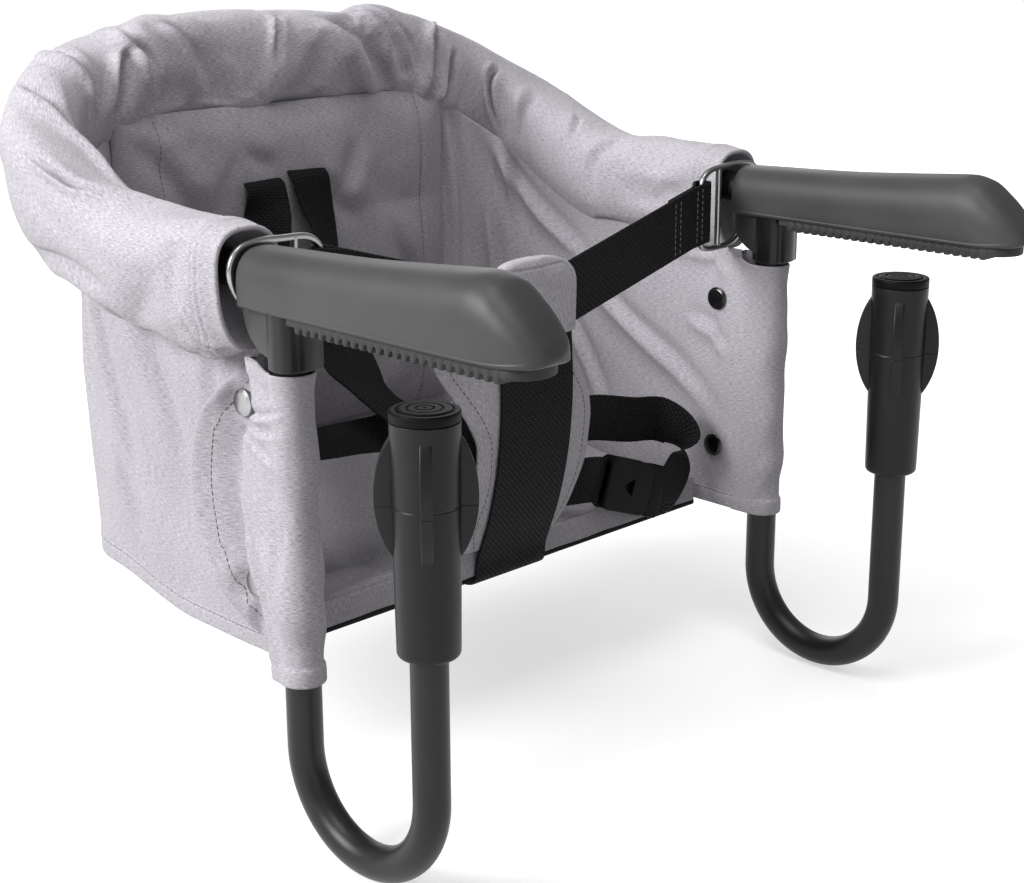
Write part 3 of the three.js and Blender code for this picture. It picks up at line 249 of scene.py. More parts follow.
class NodeTree:
    def __init__(self, name):
        self.material = bpy.data.materials.new(name)
        self.material.use_nodes = True
        self.tree = self.material.node_tree
        self.tree.nodes.clear()
        self.place = 0

    def add(self, kind, inputs=None, **settings):
        node = self.tree.nodes.new(kind)
        self.place += 1
        node.location = (self.place % 8 * 200, -(self.place // 8) * 260)
        for key, value in settings.items():
            setattr(node, key, value)
        for key, value in (inputs or {}).items():
            if isinstance(value, bpy.types.NodeSocket):
                self.tree.links.new(value, node.inputs[key])
            else:
                node.inputs[key].default_value = value
        return node.outputs

    def sums(self, operation, first, second=0.0):
        return self.add("ShaderNodeMath", {0: first, 1: second}, operation=operation)[0]

    def weighed(self, first, weight, second, otherWeight):
        parts = (self.sums("MULTIPLY", first, weight), self.sums("MULTIPLY", second, otherWeight))
        return self.sums("ADD", *parts)

    def blend(self, share, first, second, way="MIX"):
        out = self.add("ShaderNodeMix", {0: share}, data_type="RGBA", blend_type=way)
        node = out[0].node
        for socket, value in ((node.inputs[6], first), (node.inputs[7], second)):
            if isinstance(value, bpy.types.NodeSocket):
                self.tree.links.new(value, socket)
            else:
                socket.default_value = value
        return out[2]

    def noise(self, vector, scale, detail=3.0, roughness=0.55):
        inputs = {"Vector": vector, "Scale": scale, "Detail": detail, "Roughness": roughness}
        return self.add("ShaderNodeTexNoise", inputs)[0]

    def ramp(self, value, low, high):
        inputs = {"Value": value, "From Min": low, "From Max": high}
        return self.add("ShaderNodeMapRange", inputs)[0]

    def scaled(self, vector, scale, turn=0.0):
        inputs = {"Vector": vector, "Scale": scale, "Rotation": (0, 0, turn)}
        return self.add("ShaderNodeMapping", inputs)[0]

    def bump(self, height, strength, distance, normal=None):
        inputs = {"Height": height, "Strength": strength, "Distance": distance}
        if normal is not None:
            inputs["Normal"] = normal
        return self.add("ShaderNodeBump", inputs)[0]

    def finish(self, color, roughness, normal=None, **shader):
        inputs = {"Base Color": color, "Roughness": roughness}
        if normal is not None:
            inputs["Normal"] = normal
        inputs.update({key.replace("_", " "): value for key, value in shader.items()})
        surface = self.add("ShaderNodeBsdfPrincipled", inputs)[0]
        self.add("ShaderNodeOutputMaterial", {"Surface": surface})
        return self.material


def grey(value, tint=(1.0, 1.0, 1.0)):
    return tuple(value * part for part in tint) + (1,)


mauve = (1.015, 0.966, 1.045)


def clothMaterial(name, light, dark, rib=0.35, soft=0.15, lengthwise=False):
    # marled twill: two sets of long soft flecks over fine slanting ribs, on the piece's own flat cloth
    made = NodeTree(name)
    flat = made.add("ShaderNodeUVMap", uv_map="flat")[0]
    longWay, shortWay = (0.34, 3.0), (2.6, 0.8)
    if not lengthwise:
        longWay, shortWay = longWay[::-1], shortWay[::-1]
    warp = made.noise(made.scaled(flat, shortWay + (1,)), 1.0, 2.0)
    weft = made.noise(made.scaled(flat, longWay + (1,)), 1.0, 2.0)
    fine = made.noise(flat, 3.2, 2.0)
    wide = made.noise(flat, 0.035, 3.0)
    flecks = made.weighed(made.weighed(warp, 0.35, weft, 0.65), 0.75, fine, 0.25)
    colour = made.blend(made.ramp(flecks, 0.386, 0.614), dark, light)
    softly = made.blend(made.ramp(wide, 0.3, 0.7), (0.93, 0.93, 0.94, 1), (1.0, 1.0, 1.0, 1))
    tone = made.blend(1.0, colour, softly, "MULTIPLY")
    slanted = made.scaled(flat, (1, 1, 1), math.radians(34))
    wave = {"Vector": slanted, "Scale": rib, "Distortion": 1.2, "Detail": 1.0}
    ribs = made.add("ShaderNodeTexWave", wave)[1]
    weave = made.bump(made.weighed(ribs, 0.5, fine, 0.7), 0.5, 0.00025)
    sag = made.bump(wide, 0.25, 0.002, weave)
    return made.finish(tone, 0.9, sag, Sheen_Weight=soft, Sheen_Roughness=0.5, Specular_IOR_Level=0.2)


def webbingMaterial(name, light, dark, pitch):
    # basket weave: square cells that show warp and weft in turn, each a small rounded thread, with painted
    # highlights on the threads' crowns and painted shade in the hollows between them
    made = NodeTree(name)
    flat = made.scaled(made.add("ShaderNodeUVMap", uv_map="flat")[0], (1 / pitch, 1 / pitch, 1))
    parts = made.add("ShaderNodeSeparateXYZ", {0: flat})
    cells = made.add("ShaderNodeTexChecker", {"Vector": flat, "Scale": 1.0})[1]
    warp, weft = (made.sums("ABSOLUTE", made.sums("SINE", made.sums("MULTIPLY", part, math.pi)))
                  for part in parts[:2])
    height = made.weighed(warp, cells, weft, made.sums("SUBTRACT", 1.0, cells))
    fibre = made.noise(flat, 2.5, 2.0)
    # painted light and shade: the colour is lighter where a thread stands high and darker between threads,
    # with a random fibre tone over it
    shade = made.sums("MULTIPLY", height, made.sums("ADD", 0.5, fibre))
    colour = made.blend(made.ramp(shade, 0.25, 1.0), dark, light)
    return made.finish(colour, 0.62, made.bump(height, 1.0, 0.0005), Specular_IOR_Level=0.12)


def mouldedMaterial(name, light, dark, roughness, grain, depth, lineHeight=None, **shader):
    # moulded plastic or rubber: faint cloudy tone, a fine grain and, where given, a mould line at a height
    made = NodeTree(name)
    place = made.add("ShaderNodeTexCoord")[3]
    cloud = made.noise(place, 25, 3.0)
    fine = made.noise(place, grain, 4.0)
    colour = made.blend(made.ramp(cloud, 0.3, 0.7), dark, light)
    normal = made.bump(fine, 0.5, depth)
    if lineHeight is not None:
        height = made.add("ShaderNodeSeparateXYZ", {0: place})[2]
        off = made.sums("ABSOLUTE", made.sums("SUBTRACT", height, lineHeight))
        normal = made.bump(made.ramp(off, 0.0, 0.0006), 0.6, 0.0005, normal)
    spread = made.sums("ADD", roughness - 0.08, made.sums("MULTIPLY", cloud, 0.16))
    return made.finish(colour, spread, normal, **shader)


def metalMaterial(name, light, roughness):
    # plated metal: a cloudy tone and fine upright streaks
    made = NodeTree(name)
    place = made.add("ShaderNodeTexCoord")[3]
    streaks = made.noise(made.scaled(place, (900, 900, 60)), 1.0, 3.0)
    cloud = made.noise(place, 60, 3.0)
    spread = made.sums("ADD", roughness, made.sums("MULTIPLY", cloud, 0.15))
    colour = made.blend(cloud, tuple(part * 0.88 for part in light[:3]) + (1,), light)
    return made.finish(colour, spread, made.bump(streaks, 0.3, 0.00004), Metallic=1.0)


marledGrey = clothMaterial("marled_grey", grey(0.6, mauve), grey(0.26, mauve))
liningGrey = clothMaterial("lining_grey", grey(0.46, mauve), grey(0.2, mauve), lengthwise=True)
blackCloth = clothMaterial("black_cloth", grey(0.012), grey(0.006), rib=0.5, soft=0.0)
seamThread = clothMaterial("seam_thread", grey(0.2, mauve), grey(0.12, mauve))
blackWebbing = webbingMaterial("black_webbing", grey(0.015), grey(0.001), 1.5)
armRubber = mouldedMaterial("arm_rubber", grey(0.054), grey(0.04), 0.48, 1400, 0.00006,
                            Specular_IOR_Level=0.35)
soleRubber = mouldedMaterial("sole_rubber", grey(0.042), grey(0.03), 0.6, 1400, 0.00008,
                             Specular_IOR_Level=0.3)
socketPlastic = mouldedMaterial("socket_plastic", grey(0.009), grey(0.006), 0.32, 900, 0.00004,
                                Specular_IOR_Level=0.3)
bucklePlastic = mouldedMaterial("buckle_plastic", grey(0.004), grey(0.003), 0.5, 1100, 0.00005,
                                Specular_IOR_Level=0.1)
powderCoat = mouldedMaterial("powder_coat", grey(0.014), grey(0.01), 0.38, 2600, 0.00005,
                             Specular_IOR_Level=0.32)
polished = metalMaterial("polished_plate", grey(0.36), 0.22)
# the studs' plating: the caps' metal painted darker, for the painted shade and dark reflections on the
# walls' inner side
shadedStudPlating = metalMaterial("shaded_stud_plating", grey(0.1), 0.16)
zinc = metalMaterial("zinc_plate", grey(0.55), 0.32)
brass = metalMaterial("brass", (0.62, 0.42, 0.16, 1), 0.3)


def boardMaterial():  # plywood with a long grain
    made = NodeTree("board_wood")
    place = made.add("ShaderNodeTexCoord")[3]
    grain = made.noise(made.scaled(place, (30, 260, 30)), 1.0, 4.0)
    colour = made.blend(grain, (0.36, 0.24, 0.13, 1), (0.56, 0.41, 0.25, 1))
    return made.finish(colour, 0.7, made.bump(grain, 0.3, 0.0002))


boardWood = boardMaterial()


def dress(node, finish):
    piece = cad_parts[node]
    if not piece.material_slots:
        piece.data.materials.append(finish)
    for held in piece.material_slots:
        held.material = finish


for nodeSide in ("left_", "right_"):
    dress(nodeSide + "leg_plug", bucklePlastic)
    dress(nodeSide + "pivot_bolt", zinc)
    dress(nodeSide + "clamp_screw", zinc)
    dress(nodeSide + "thread_nut", brass)
dress("seat_board", boardWood)
print("stage: materials")


# The hoop's plan and height, walked outward from the middle of its back

hoop = {
    "height": 208, "front": 128, "depth": 216, "corner": 57, "rise": 72, "riseStart": 87, "levelShare": 0.34,
    "radius": 8, "sides": 28,
}
legOffset = 163
flatHalf = legOffset - hoop["corner"]
arcEnd = flatHalf + hoop["corner"] * math.pi / 2


def runAtY(y):
    return arcEnd + hoop["depth"] - hoop["corner"] - y


def planAt(run):
    walked, side = np.abs(run), np.where(np.asarray(run) < 0, -1, 1)
    turn = np.clip((walked - flatHalf) / hoop["corner"], 0, math.pi / 2)
    x = np.minimum(walked, flatHalf) + hoop["corner"] * np.sin(turn)
    y = hoop["depth"] - hoop["corner"] * (1 - np.cos(turn)) - np.maximum(walked - arcEnd, 0)
    return side * x, y, side * np.sin(turn), np.cos(turn)


def hoopHeight(run):
    risenRun, levelRun = runAtY(hoop["riseStart"]), hoop["levelShare"] * arcEnd
    return hoop["height"] + hoop["rise"] * smooth((risenRun - np.abs(run)) / (risenRun - levelRun))


def hoopPoint(run):
    x, y, _, _ = planAt(run)
    return xyz(x, y, hoopHeight(run))


def hoopStations(run):  # places along the hoop with the outward direction and the one square to both
    _, _, outX, outY = planAt(run)
    across = xyz(outX, outY, np.zeros_like(outX))
    along = unit(hoopPoint(run + 0.5) - hoopPoint(run - 0.5))
    return hoopPoint(run), across, unit(np.cross(along, across))


def makeHoopTube():
    runs = np.linspace(runAtY(-hoop["front"]), -runAtY(-hoop["front"]), 240)
    origins, across, over = hoopStations(runs)
    outline = hoop["radius"] * towards(np.linspace(0, fullTurn, hoop["sides"], endpoint=False))
    makePiece("bent_hoop", [(closedEnds(carried(origins, across, over, outline), 0.2), True)],
              powderCoat, "frame", ["hoop_tube"])


makeHoopTube()

# Hooks and their screw clamps

hook = {"reach": 82, "rearTop": 196, "frontTop": 89, "radius": 8, "bendEnd": 4, "sides": 48}


def makeHooks():
    radius = hook["reach"] / 2
    turn = np.linspace(0, math.pi, 49)
    bendY, bendZ = -radius + radius * np.cos(turn), -radius * np.sin(turn)
    rear = np.linspace(hook["rearTop"], hook["bendEnd"], 12)
    front = np.linspace(hook["bendEnd"], hook["frontTop"], 8)
    y = np.concatenate([rear * 0, bendY, front * 0 - hook["reach"]])
    z = np.concatenate([rear, bendZ, front])
    origins = xyz(legOffset, y, z)
    along = unit(np.gradient(origins, axis=0))
    across = sameWay((1, 0, 0), origins)
    outline = hook["radius"] * towards(np.linspace(0, fullTurn, hook["sides"], endpoint=False))
    tube = closedEnds(carried(origins, across, np.cross(along, across), outline), 0.15)
    makePair("hook_tube", [(tube, True)], powderCoat, "hook", sharp=60)


softEdge = {"depth": 1.2, "flare": 1.03}


def platesGrid(outline, front, back, bevel, hole=None):
    # an outline given depth, with rounded edges, round a hole or closed in the middle
    quarter = np.linspace(0, math.pi / 2, 5)
    inset, edge, rows = bevel * (1 - np.sin(quarter)), bevel * (1 - np.cos(quarter)), []
    middle = outline.mean(0)
    radius = np.linalg.norm(outline - middle, axis=1).mean()
    for away, y in ((inset, front + edge), (inset[::-1], back - edge[::-1])):
        for shift, depth in zip(away, y):
            plan = mix(outline, middle, shift / radius)
            rows.append(xyz(plan[:, 0], depth, plan[:, 1]))
    rows = np.array(rows)
    if hole is None:
        return closedEnds(rows)
    ends = [xyz(size * hole[:, 0], y, size * hole[:, 1])
            for size, y in ((1, back), (1, front + softEdge["depth"]), (softEdge["flare"], front))]
    return np.concatenate([rows, np.array(ends), rows[:1]])


knob = {
    "bottom": 66, "top": 164, "bottomRadius": 13.1, "topRadius": 14.25, "edge": 2.4, "shoulder": 0.3,
    "bore": 8.6, "boreDepth": 84, "mouth": 0.8, "lineHeight": 130,
    "wingRoot": 10.5, "wingReach": 20.8, "wingMiddle": 133.5, "wingHalf": 33, "wingThickness": 5,
    "wingEdge": 0.9,
}
clamps = {
    "right": {"side": 1, "lift": 4.5, "turnShare": 0.37},
    "left": {"side": -1, "lift": 0, "turnShare": 0.53},
}


def knobSleeve():
    # a tapered tube with a rounded lower lip, open below for the leg
    bottom, top, edge, soft = knob["bottom"], knob["top"], knob["edge"], knob["shoulder"]
    bottomRadius, topRadius = knob["bottomRadius"], knob["topRadius"]
    lip = np.linspace(0, math.pi / 2, 9)
    rounded = np.stack([bottomRadius - edge + edge * np.sin(lip), bottom + edge - edge * np.cos(lip)], -1)
    shoulder = np.stack([topRadius - soft + soft * np.cos(lip), top - soft + soft * np.sin(lip)], -1)
    heights = np.linspace(bottom + edge, top - soft, 24)[1:-1]
    wall = np.stack([np.interp(heights, [bottom, top], [bottomRadius, topRadius]), heights], -1)
    bore, mouth, deep = knob["bore"], knob["mouth"], bottom + knob["boreDepth"]
    inside = [(0, deep), (bore, deep), (bore, bottom + mouth), (bore + mouth, bottom)]
    return turned(np.concatenate([inside, rounded, wall, shoulder, [(0, top)]]), 64)


def knobWing(turn):
    # the outer part of a flat oval plate, from its root inside the sleeve's wall, with rounded edges
    root, reach, half = knob["wingRoot"], knob["wingReach"], knob["wingHalf"]
    widest = math.acos(root / reach)
    around = np.linspace(-widest, widest, 72)
    arc = np.stack([reach * np.cos(around), half * np.sin(around)], -1)
    back = np.linspace(arc[-1], arc[0], 40)[1:-1]
    plate = platesGrid(np.concatenate([arc, back]), -knob["wingThickness"] / 2, knob["wingThickness"] / 2,
                       knob["wingEdge"])
    x, y, z = plate[..., 0], plate[..., 1], plate[..., 2] + knob["wingMiddle"]
    return xyz(x * math.cos(turn) - y * math.sin(turn), x * math.sin(turn) + y * math.cos(turn), z), True


pad = {
    "thickness": 4.7, "radius": 14.25, "rim": 0.8, "stem": 4, "stemLength": 8, "gap": 0.3, "relief": 0.5,
    "grooveShares": (0.25, 0.5, 0.8), "grooveDepth": 0.55, "grooveWidth": 0.28, "dot": 0.7,
}


def padDisc():
    # pressing disc with a raised middle, three fine ring grooves and a small dot, on its stem
    bottom = knob["top"] + pad["gap"]
    top, radius, rim = bottom + pad["thickness"], pad["radius"], pad["rim"]
    reach = np.linspace(radius - rim, 0, 70)
    grooves = sum(pad["grooveDepth"] * bell(reach - radius * share, pad["grooveWidth"])
                  for share in pad["grooveShares"])
    raised = smooth((radius * 0.82 - reach) / 2) - bell(reach, pad["dot"]) - 1
    face = np.stack([reach, top + pad["relief"] * raised - grooves], -1)
    turn = np.linspace(0, math.pi / 2, 6)
    edge = top - pad["relief"] - rim
    outer = np.stack([radius - rim + rim * np.cos(turn), edge + rim * np.sin(turn)], -1)
    foot = bottom - pad["stemLength"]
    under = [(0, foot), (pad["stem"], foot), (pad["stem"], bottom), (radius - rim / 4, bottom),
             (radius, bottom + rim / 4)]
    return turned(np.concatenate([under, outer, face]), 64)


def makeClamps():
    for name, clamp in clamps.items():
        lineHeight = (knob["lineHeight"] + clamp["lift"] - soleHeight) * millimetre
        knobPlastic = mouldedMaterial(name + "_knob_plastic", grey(0.01), grey(0.007), 0.4, 1500, 0.00006,
                                      lineHeight, Specular_IOR_Level=0.25)
        place = np.array([clamp["side"] * legOffset, -hook["reach"], clamp["lift"]])
        turn = clamp["turnShare"] * math.pi / 2
        sleeve = [(knobSleeve(), True)] + [knobWing(turn + quarter * math.pi / 2) for quarter in range(4)]
        placed = [(grid + place, around) for grid, around in sleeve]
        makePiece(name + "_clamp_knob", placed, knobPlastic, name + "_knob", [name + "_clamp_knob"],
                  sharp=38)
        makePiece(name + "_clamp_pad", [(padDisc() + place, True)], bucklePlastic, name + "_pad",
                  [name + "_clamp_pad"], sharp=50)


makeHooks()
makeClamps()
print("stage: hooks and clamps")

# Arms: a soft moulded cover over the tube, a toothed sole and the elbow that holds the leg

arm = {
    "rear": 16, "nose": 153, "bottom": 195, "height": 33, "halfWidth": 16.5, "crownShare": 0.62, "lip": 2.6,
    "lipOut": 0.5, "powers": (2.5, 7), "sides": 132, "level": 0.8,
}
armShares = {
    "along": [0, 0.1, 0.35, 0.6, 0.74, 0.8, 0.85, 0.9, 0.94, 0.97, 0.99, 1],
    "width": [0.87, 0.9, 0.94, 0.98, 1, 1, 0.98, 0.92, 0.82, 0.68, 0.46, 0.2],
    "height": [0.76, 0.78, 0.83, 0.92, 0.98, 1, 0.95, 0.78, 0.6, 0.44, 0.32, 0.22],
    "raised": [0, 0, 0, 0, 0, 0, 0, 0.01, 0.03, 0.05, 0.08, 0.12],
}


def armGrid():
    # oval sections along the arm, flat below; a small lip runs round the lower edge
    level, nose = arm["level"], np.sin(np.linspace(0, math.pi / 2, 36)[1:])
    along = np.concatenate([np.linspace(0, level, 40), nose * (1 - level) + level])
    width, height, raised = (readThrough(armShares["along"], armShares[key], along)
                             for key in ("width", "height", "raised"))
    turn = np.linspace(0, fullTurn, arm["sides"], endpoint=False)
    rows = []
    for share, wide, high, low in zip(along, width, height, raised):
        bottom, top = arm["bottom"] + arm["height"] * low, arm["bottom"] + arm["height"] * high
        centre = mix(bottom, top, 1 - arm["crownShare"])
        across, over = ovalPoint(turn, arm["halfWidth"] * wide, top - centre, centre - bottom, arm["powers"])
        above = centre + over - bottom
        inLip = smooth((arm["lip"] - above) / 0.5 + 0.5) * smooth(above / 0.6)
        y = mix(arm["rear"], -arm["nose"], share)
        x = legOffset + across * (1 + inLip * arm["lipOut"] / arm["halfWidth"])
        rows.append(xyz(x, y, centre + over))
    grid = np.array(rows)
    middle = grid[0].mean(0)
    rear = [mix(grid[0], middle, inset) + (0, 0.9 * bulge, 0)
            for inset, bulge in ((1, 1.15), (0.5, 1.1), (0.12, 0.95), (0.05, 0.7), (0.012, 0.3))]
    return np.concatenate([rear, grid, grid[-1:] * 0 + grid[-1].mean(0) - (0, 0.6, 0)])


grip = {
    "start": 13.5, "teethStart": 19, "teethEnd": 137, "nose": 147, "halfWidth": 12.9, "toothOut": 0.35,
    "root": 192.6, "tip": 190, "blockBottom": 192, "top": 196.5, "teeth": 24, "gapShare": 0.08,
    "flankShare": 0.26,
}


def gripGrid():
    # the sole's section along the arm; its underside rises and falls as rounded teeth
    pitch = (grip["teethEnd"] - grip["teethStart"]) / grip["teeth"]
    along = np.concatenate([
        [grip["start"], grip["start"] + 0.2, grip["start"] + 0.8],
        np.linspace(grip["teethStart"] - 1, grip["teethEnd"], grip["teeth"] * 12 + 3),
        grip["teethEnd"] + (grip["nose"] - grip["teethEnd"]) * np.sin(np.linspace(0.1, math.pi / 2, 16)),
    ])
    phase = (along - grip["teethStart"]) / pitch % 1
    inTeeth = (along >= grip["teethStart"]) & (along <= grip["teethEnd"])
    gap, flank = grip["gapShare"], grip["flankShare"]
    tooth = smooth((phase - gap) / flank) * smooth((1 - gap - phase) / flank) * inTeeth
    past = np.clip((along - grip["teethEnd"]) / (grip["nose"] - grip["teethEnd"]), 0, 1)
    half = grip["halfWidth"] * np.sqrt(np.maximum(1 - past ** 2, 0.002)) + grip["toothOut"] * tooth
    ended = smooth((along - grip["start"]) / 0.8)
    low = mix(grip["root"], grip["tip"], tooth)
    low = mix(low, grip["blockBottom"], smooth((along - grip["teethEnd"]) / 1.2))
    outline = roundedBox(2, 2, 0.16, 4)
    x = legOffset + outline[:, 0] * (half * mix(0.9, 1, ended))[:, None]
    z = mix(low[:, None], grip["top"], (outline[:, 1] + 1) / 2)
    return closedEnds(xyz(x, -along[:, None], z))


elbow = {
    "side": 22.5, "corner": 5, "rearRadius": 9.6, "rearLap": 4, "bottom": 171, "top": 207.5, "boreGap": 0.5,
    "boreDepth": 14, "edge": 0.9, "taper": 0.07, "webWidth": 18, "webRadius": 20, "webGap": 0.3,
}


def atAngles(outline, angles):  # an outline read at given directions from its middle
    own = np.arctan2(outline[:, 1], outline[:, 0])
    order = np.argsort(own)
    radius = np.hypot(outline[:, 0], outline[:, 1])
    reach = np.interp(angles, own[order], radius[order], period=fullTurn)
    return reach[:, None] * towards(angles)


def elbowGrid():
    # a socket, square in front and round behind, with a softened lower edge, open below round the leg
    angles = np.linspace(0, fullTurn, 120, endpoint=False)
    frontDepth = elbow["side"] / 2 + elbow["rearLap"]
    box = roundedBox(elbow["side"], frontDepth, elbow["corner"], 24) + (0, elbow["rearLap"] - frontDepth / 2)
    around = towards(angles)
    reach = np.linalg.norm(atAngles(box, angles), axis=1)
    outline = np.maximum(reach, elbow["rearRadius"])[:, None] * around
    bottom, bore = elbow["bottom"], (hook["radius"] + elbow["boreGap"]) * around
    levels = [(bore, bottom + elbow["boreDepth"]), (bore, bottom + 0.6), (bore * 1.05, bottom)]
    for step in np.linspace(0, math.pi / 2, 6):
        inset = 1 - elbow["taper"] * (1 - math.sin(step))
        levels.append((outline * inset, bottom + elbow["edge"] * (1 - math.cos(step))))
    levels += [(outline, bottom + 8), (outline, elbow["top"] - 4), (outline * 0.98, elbow["top"])]
    rows = [xyz(legOffset + plan[:, 0], plan[:, 1], height) for plan, height in levels]
    return closedEnds(np.array(rows))


def makeArms():
    makePair("arm_cover", [(armGrid(), True)], armRubber, "frame")
    makePair("arm_grip", [(gripGrid(), True)], soleRubber, "frame", sharp=50)
    makePair("elbow", [(elbowGrid(), True)], socketPlastic, "frame", sharp=50)
    # a quarter of a disc stands under the tube, behind the socket, with softened edges
    side = np.linspace(0, math.pi / 2, 40)
    radius = elbow["webRadius"] * np.array([0, 0.5, 0.92, 0.98, 1])
    half = elbow["webWidth"] / 2 - np.array([0, 0, 0, 0.25, elbow["edge"]])
    top = arm["bottom"] - elbow["webGap"]
    section = list(zip(half, radius)) + list(zip(-half[::-1], radius[::-1]))
    web = np.array([xyz(legOffset + face, reach * np.cos(side), top - reach * np.sin(side))
                    for face, reach in section])
    flank = np.stack([web[:5, 0], web[:4:-1, 0]])
    roof = np.stack([web[:5, -1], web[:4:-1, -1]])
    makePair("elbow_web", [(web, False), (flank, False), (roof, False)], armRubber, "frame",
             sharp=40, node="")


ring = {
    "y": 20.5, "bar": 3.6, "inner": 36, "height": 43, "gap": 0.3, "slot": 9.5, "innerBar": 4.5, "wire": 3,
    "wireCorner": 1.1, "postLow": 29.8, "postHigh": 12.4,
}
# the ring's middle line, from its lower inner corner upward: offsets from the leg and from the tube's middle
ringLine = [
    (-34.2, -26), (-34.5, 0), (-33.2, 7.5), (-28, 11.4), (-14, 12.6), (0, 12.8), (9, 10.6), (13.2, 5),
    (13.6, -1), (11, -8), (3, -18), (-5, -27), (-11, -29.6), (-20, -30), (-29, -29.8), (-33, -28.4),
]


def makeRings():
    # a thin bent bar: upright along the strap, an arc round the tube, slanting back below it
    loop = splined(ringLine + ringLine[:1], 8)[:-1]
    origins = xyz(legOffset + loop[:, 0], ring["y"], hoop["height"] + loop[:, 1])
    low, high = hoop["height"] - ring["postLow"], hoop["height"] + ring["postHigh"]
    after, before = np.roll(origins, -1, 0), np.roll(origins, 1, 0)
    along = unit(after - before)
    across = np.cross(along, (0.0, 1.0, 0.0))
    section = roundedBox(ring["wire"], ring["wire"], ring["wireCorner"], 4)
    band = carried(origins, across, sameWay((0, 1, 0), origins), section)
    band = np.concatenate([band, band[:1]])
    barX = legOffset - ring["inner"] + ring["innerBar"] + ring["slot"] + ring["bar"] / 2
    post = xyz(barX, ring["y"], np.linspace(low, high, 6))
    divider = closedEnds(carried(post, sameWay((1, 0, 0), post), sameWay((0, 1, 0), post), section))
    makePair("strap_ring", [(band, True), (divider, True)], polished, "frame", sharp=60)


makeArms()
makeRings()
print("stage: arms and rings")

# Cloth: sheets, folds, creases and stitches

def walked(points):  # length walked along a line of points
    return np.append(0, np.cumsum(np.linalg.norm(np.diff(points, axis=0), axis=1)))


def evenly(points, count):  # the same line read at evenly spaced lengths
    length = walked(points)
    even = np.linspace(0, length[-1], count)
    return np.stack([np.interp(even, length, points[:, axis]) for axis in range(points.shape[1])], -1)


def rumpled(u, v, size, seed):
    # slow uneven swell: eight plane waves of about one size, in fixed random directions
    maker = np.random.default_rng(seed)
    turns, phases = maker.uniform(0, fullTurn, 8), maker.uniform(0, fullTurn, 8)
    spreads = maker.uniform(0.7, 1.5, 8)
    total = 0
    for turn, phase, spread in zip(turns, phases, spreads):
        along = u * math.cos(turn) + v * math.sin(turn)
        total = total + np.sin(along / (size * spread) * fullTurn + phase)
    return total / 4


def fromLine(u, v, line):
    # each place's distance from a line, less than 0 on its right, and how far along the line it lies
    nearest = np.full(np.broadcast(u, v).shape, 1e9)
    share, side = np.zeros_like(nearest), np.ones_like(nearest)
    for place, (start, end) in enumerate(zip(line[:-1], line[1:])):
        step = end - start
        along = np.clip(((u - start[0]) * step[0] + (v - start[1]) * step[1]) / (step @ step), 0, 1)
        far = np.hypot(u - start[0] - along * step[0], v - start[1] - along * step[1])
        left = step[0] * (v - start[1]) - step[1] * (u - start[0])
        share = np.where(far < nearest, (place + along) / (len(line) - 1), share)
        side = np.where(far < nearest, np.where(left < 0, -1, 1), side)
        nearest = np.minimum(far, nearest)
    return nearest * side, share


def creased(u, v, creases):
    # each crease is a sunk line with a steep ridge left of it and a broad low one on its right
    relief = np.zeros(np.broadcast(u, v).shape)
    for line, width, depth in creases:
        far, share = fromLine(u, v, evenly(splined(np.array(line, float)), 14))
        fade = smooth(share / 0.34) * smooth((1 - share) / 0.38)
        sunk = bell(far, 0.8 * width)
        steep = 0.8 * bell(far - 1.7 * width, 1.1 * width)
        broad = 0.35 * bell(far + 2.6 * width, 1.9 * width)
        relief += fade * depth * (steep + broad - sunk)
    return relief


def borderDistance(lengths, widths):  # distance of each place of a grid to its nearest border
    far = np.minimum(lengths - lengths[0], lengths[-1] - lengths)[:, None]
    return np.minimum(far, np.minimum(widths - widths[0], widths[-1] - widths)[None])


def sheetGrids(middle, thickness, border, lift=0.0):
    # the two faces of a sheet, which meet in a round edge along its border
    normal = unit(np.cross(np.gradient(middle, axis=0), np.gradient(middle, axis=1)))
    half = np.broadcast_to(thickness, border.shape) / 2
    half = (half * rounding(border, half.max()))[..., None]
    centre = middle + normal * np.broadcast_to(lift, border.shape)[..., None]
    return [(centre + normal * half, False), (centre - normal * half, False)]


stitch = {"pitch": 3.1, "length": 2.2, "radius": 0.3}


def makeStitches(name, lines):
    # short rounded threads laid in rows along lines on the cloth
    pitch, length = stitch["pitch"], stitch["length"]
    ends = []
    for line in lines:
        count = max(int(walked(line)[-1] / pitch), 1)
        fine = evenly(line, count * 8 + 1)
        ends.append(np.stack([fine[:-8:8], fine[round(8 * length / pitch)::8][:count]], 1))
    ends = np.concatenate(ends)
    along = unit(ends[:, 1] - ends[:, 0])
    across = unit(np.cross(along, (0.31, 0.27, 0.91)))
    over = np.cross(along, across)
    share = np.array([0, 0.06, 0.25, 0.5, 0.75, 0.94, 1])
    size = stitch["radius"] * np.array([0, 0.6, 0.95, 1, 0.95, 0.6, 0])
    turn = np.linspace(0, fullTurn, 6, endpoint=False)
    centre = mix(ends[:, None, :1], ends[:, None, 1:], share[:, None, None]).reshape(len(ends), 7, 1, 3)
    around = across[:, None, None] * np.cos(turn)[:, None] + over[:, None, None] * np.sin(turn)[:, None]
    points = centre + around * size[:, None, None]
    makePiece(name, [(thread, True) for thread in points], seamThread, "frame")


settling = {
    "cell": 0.006, "frames": 20, "mass": 0.12, "stiffness": 12, "bending": 0.4, "near": 6, "atOnce": 4000,
}


def meshPoints(mesh):
    points = np.empty(len(mesh.vertices) * 3)
    mesh.vertices.foreach_get("co", points)
    return points.reshape(-1, 3)


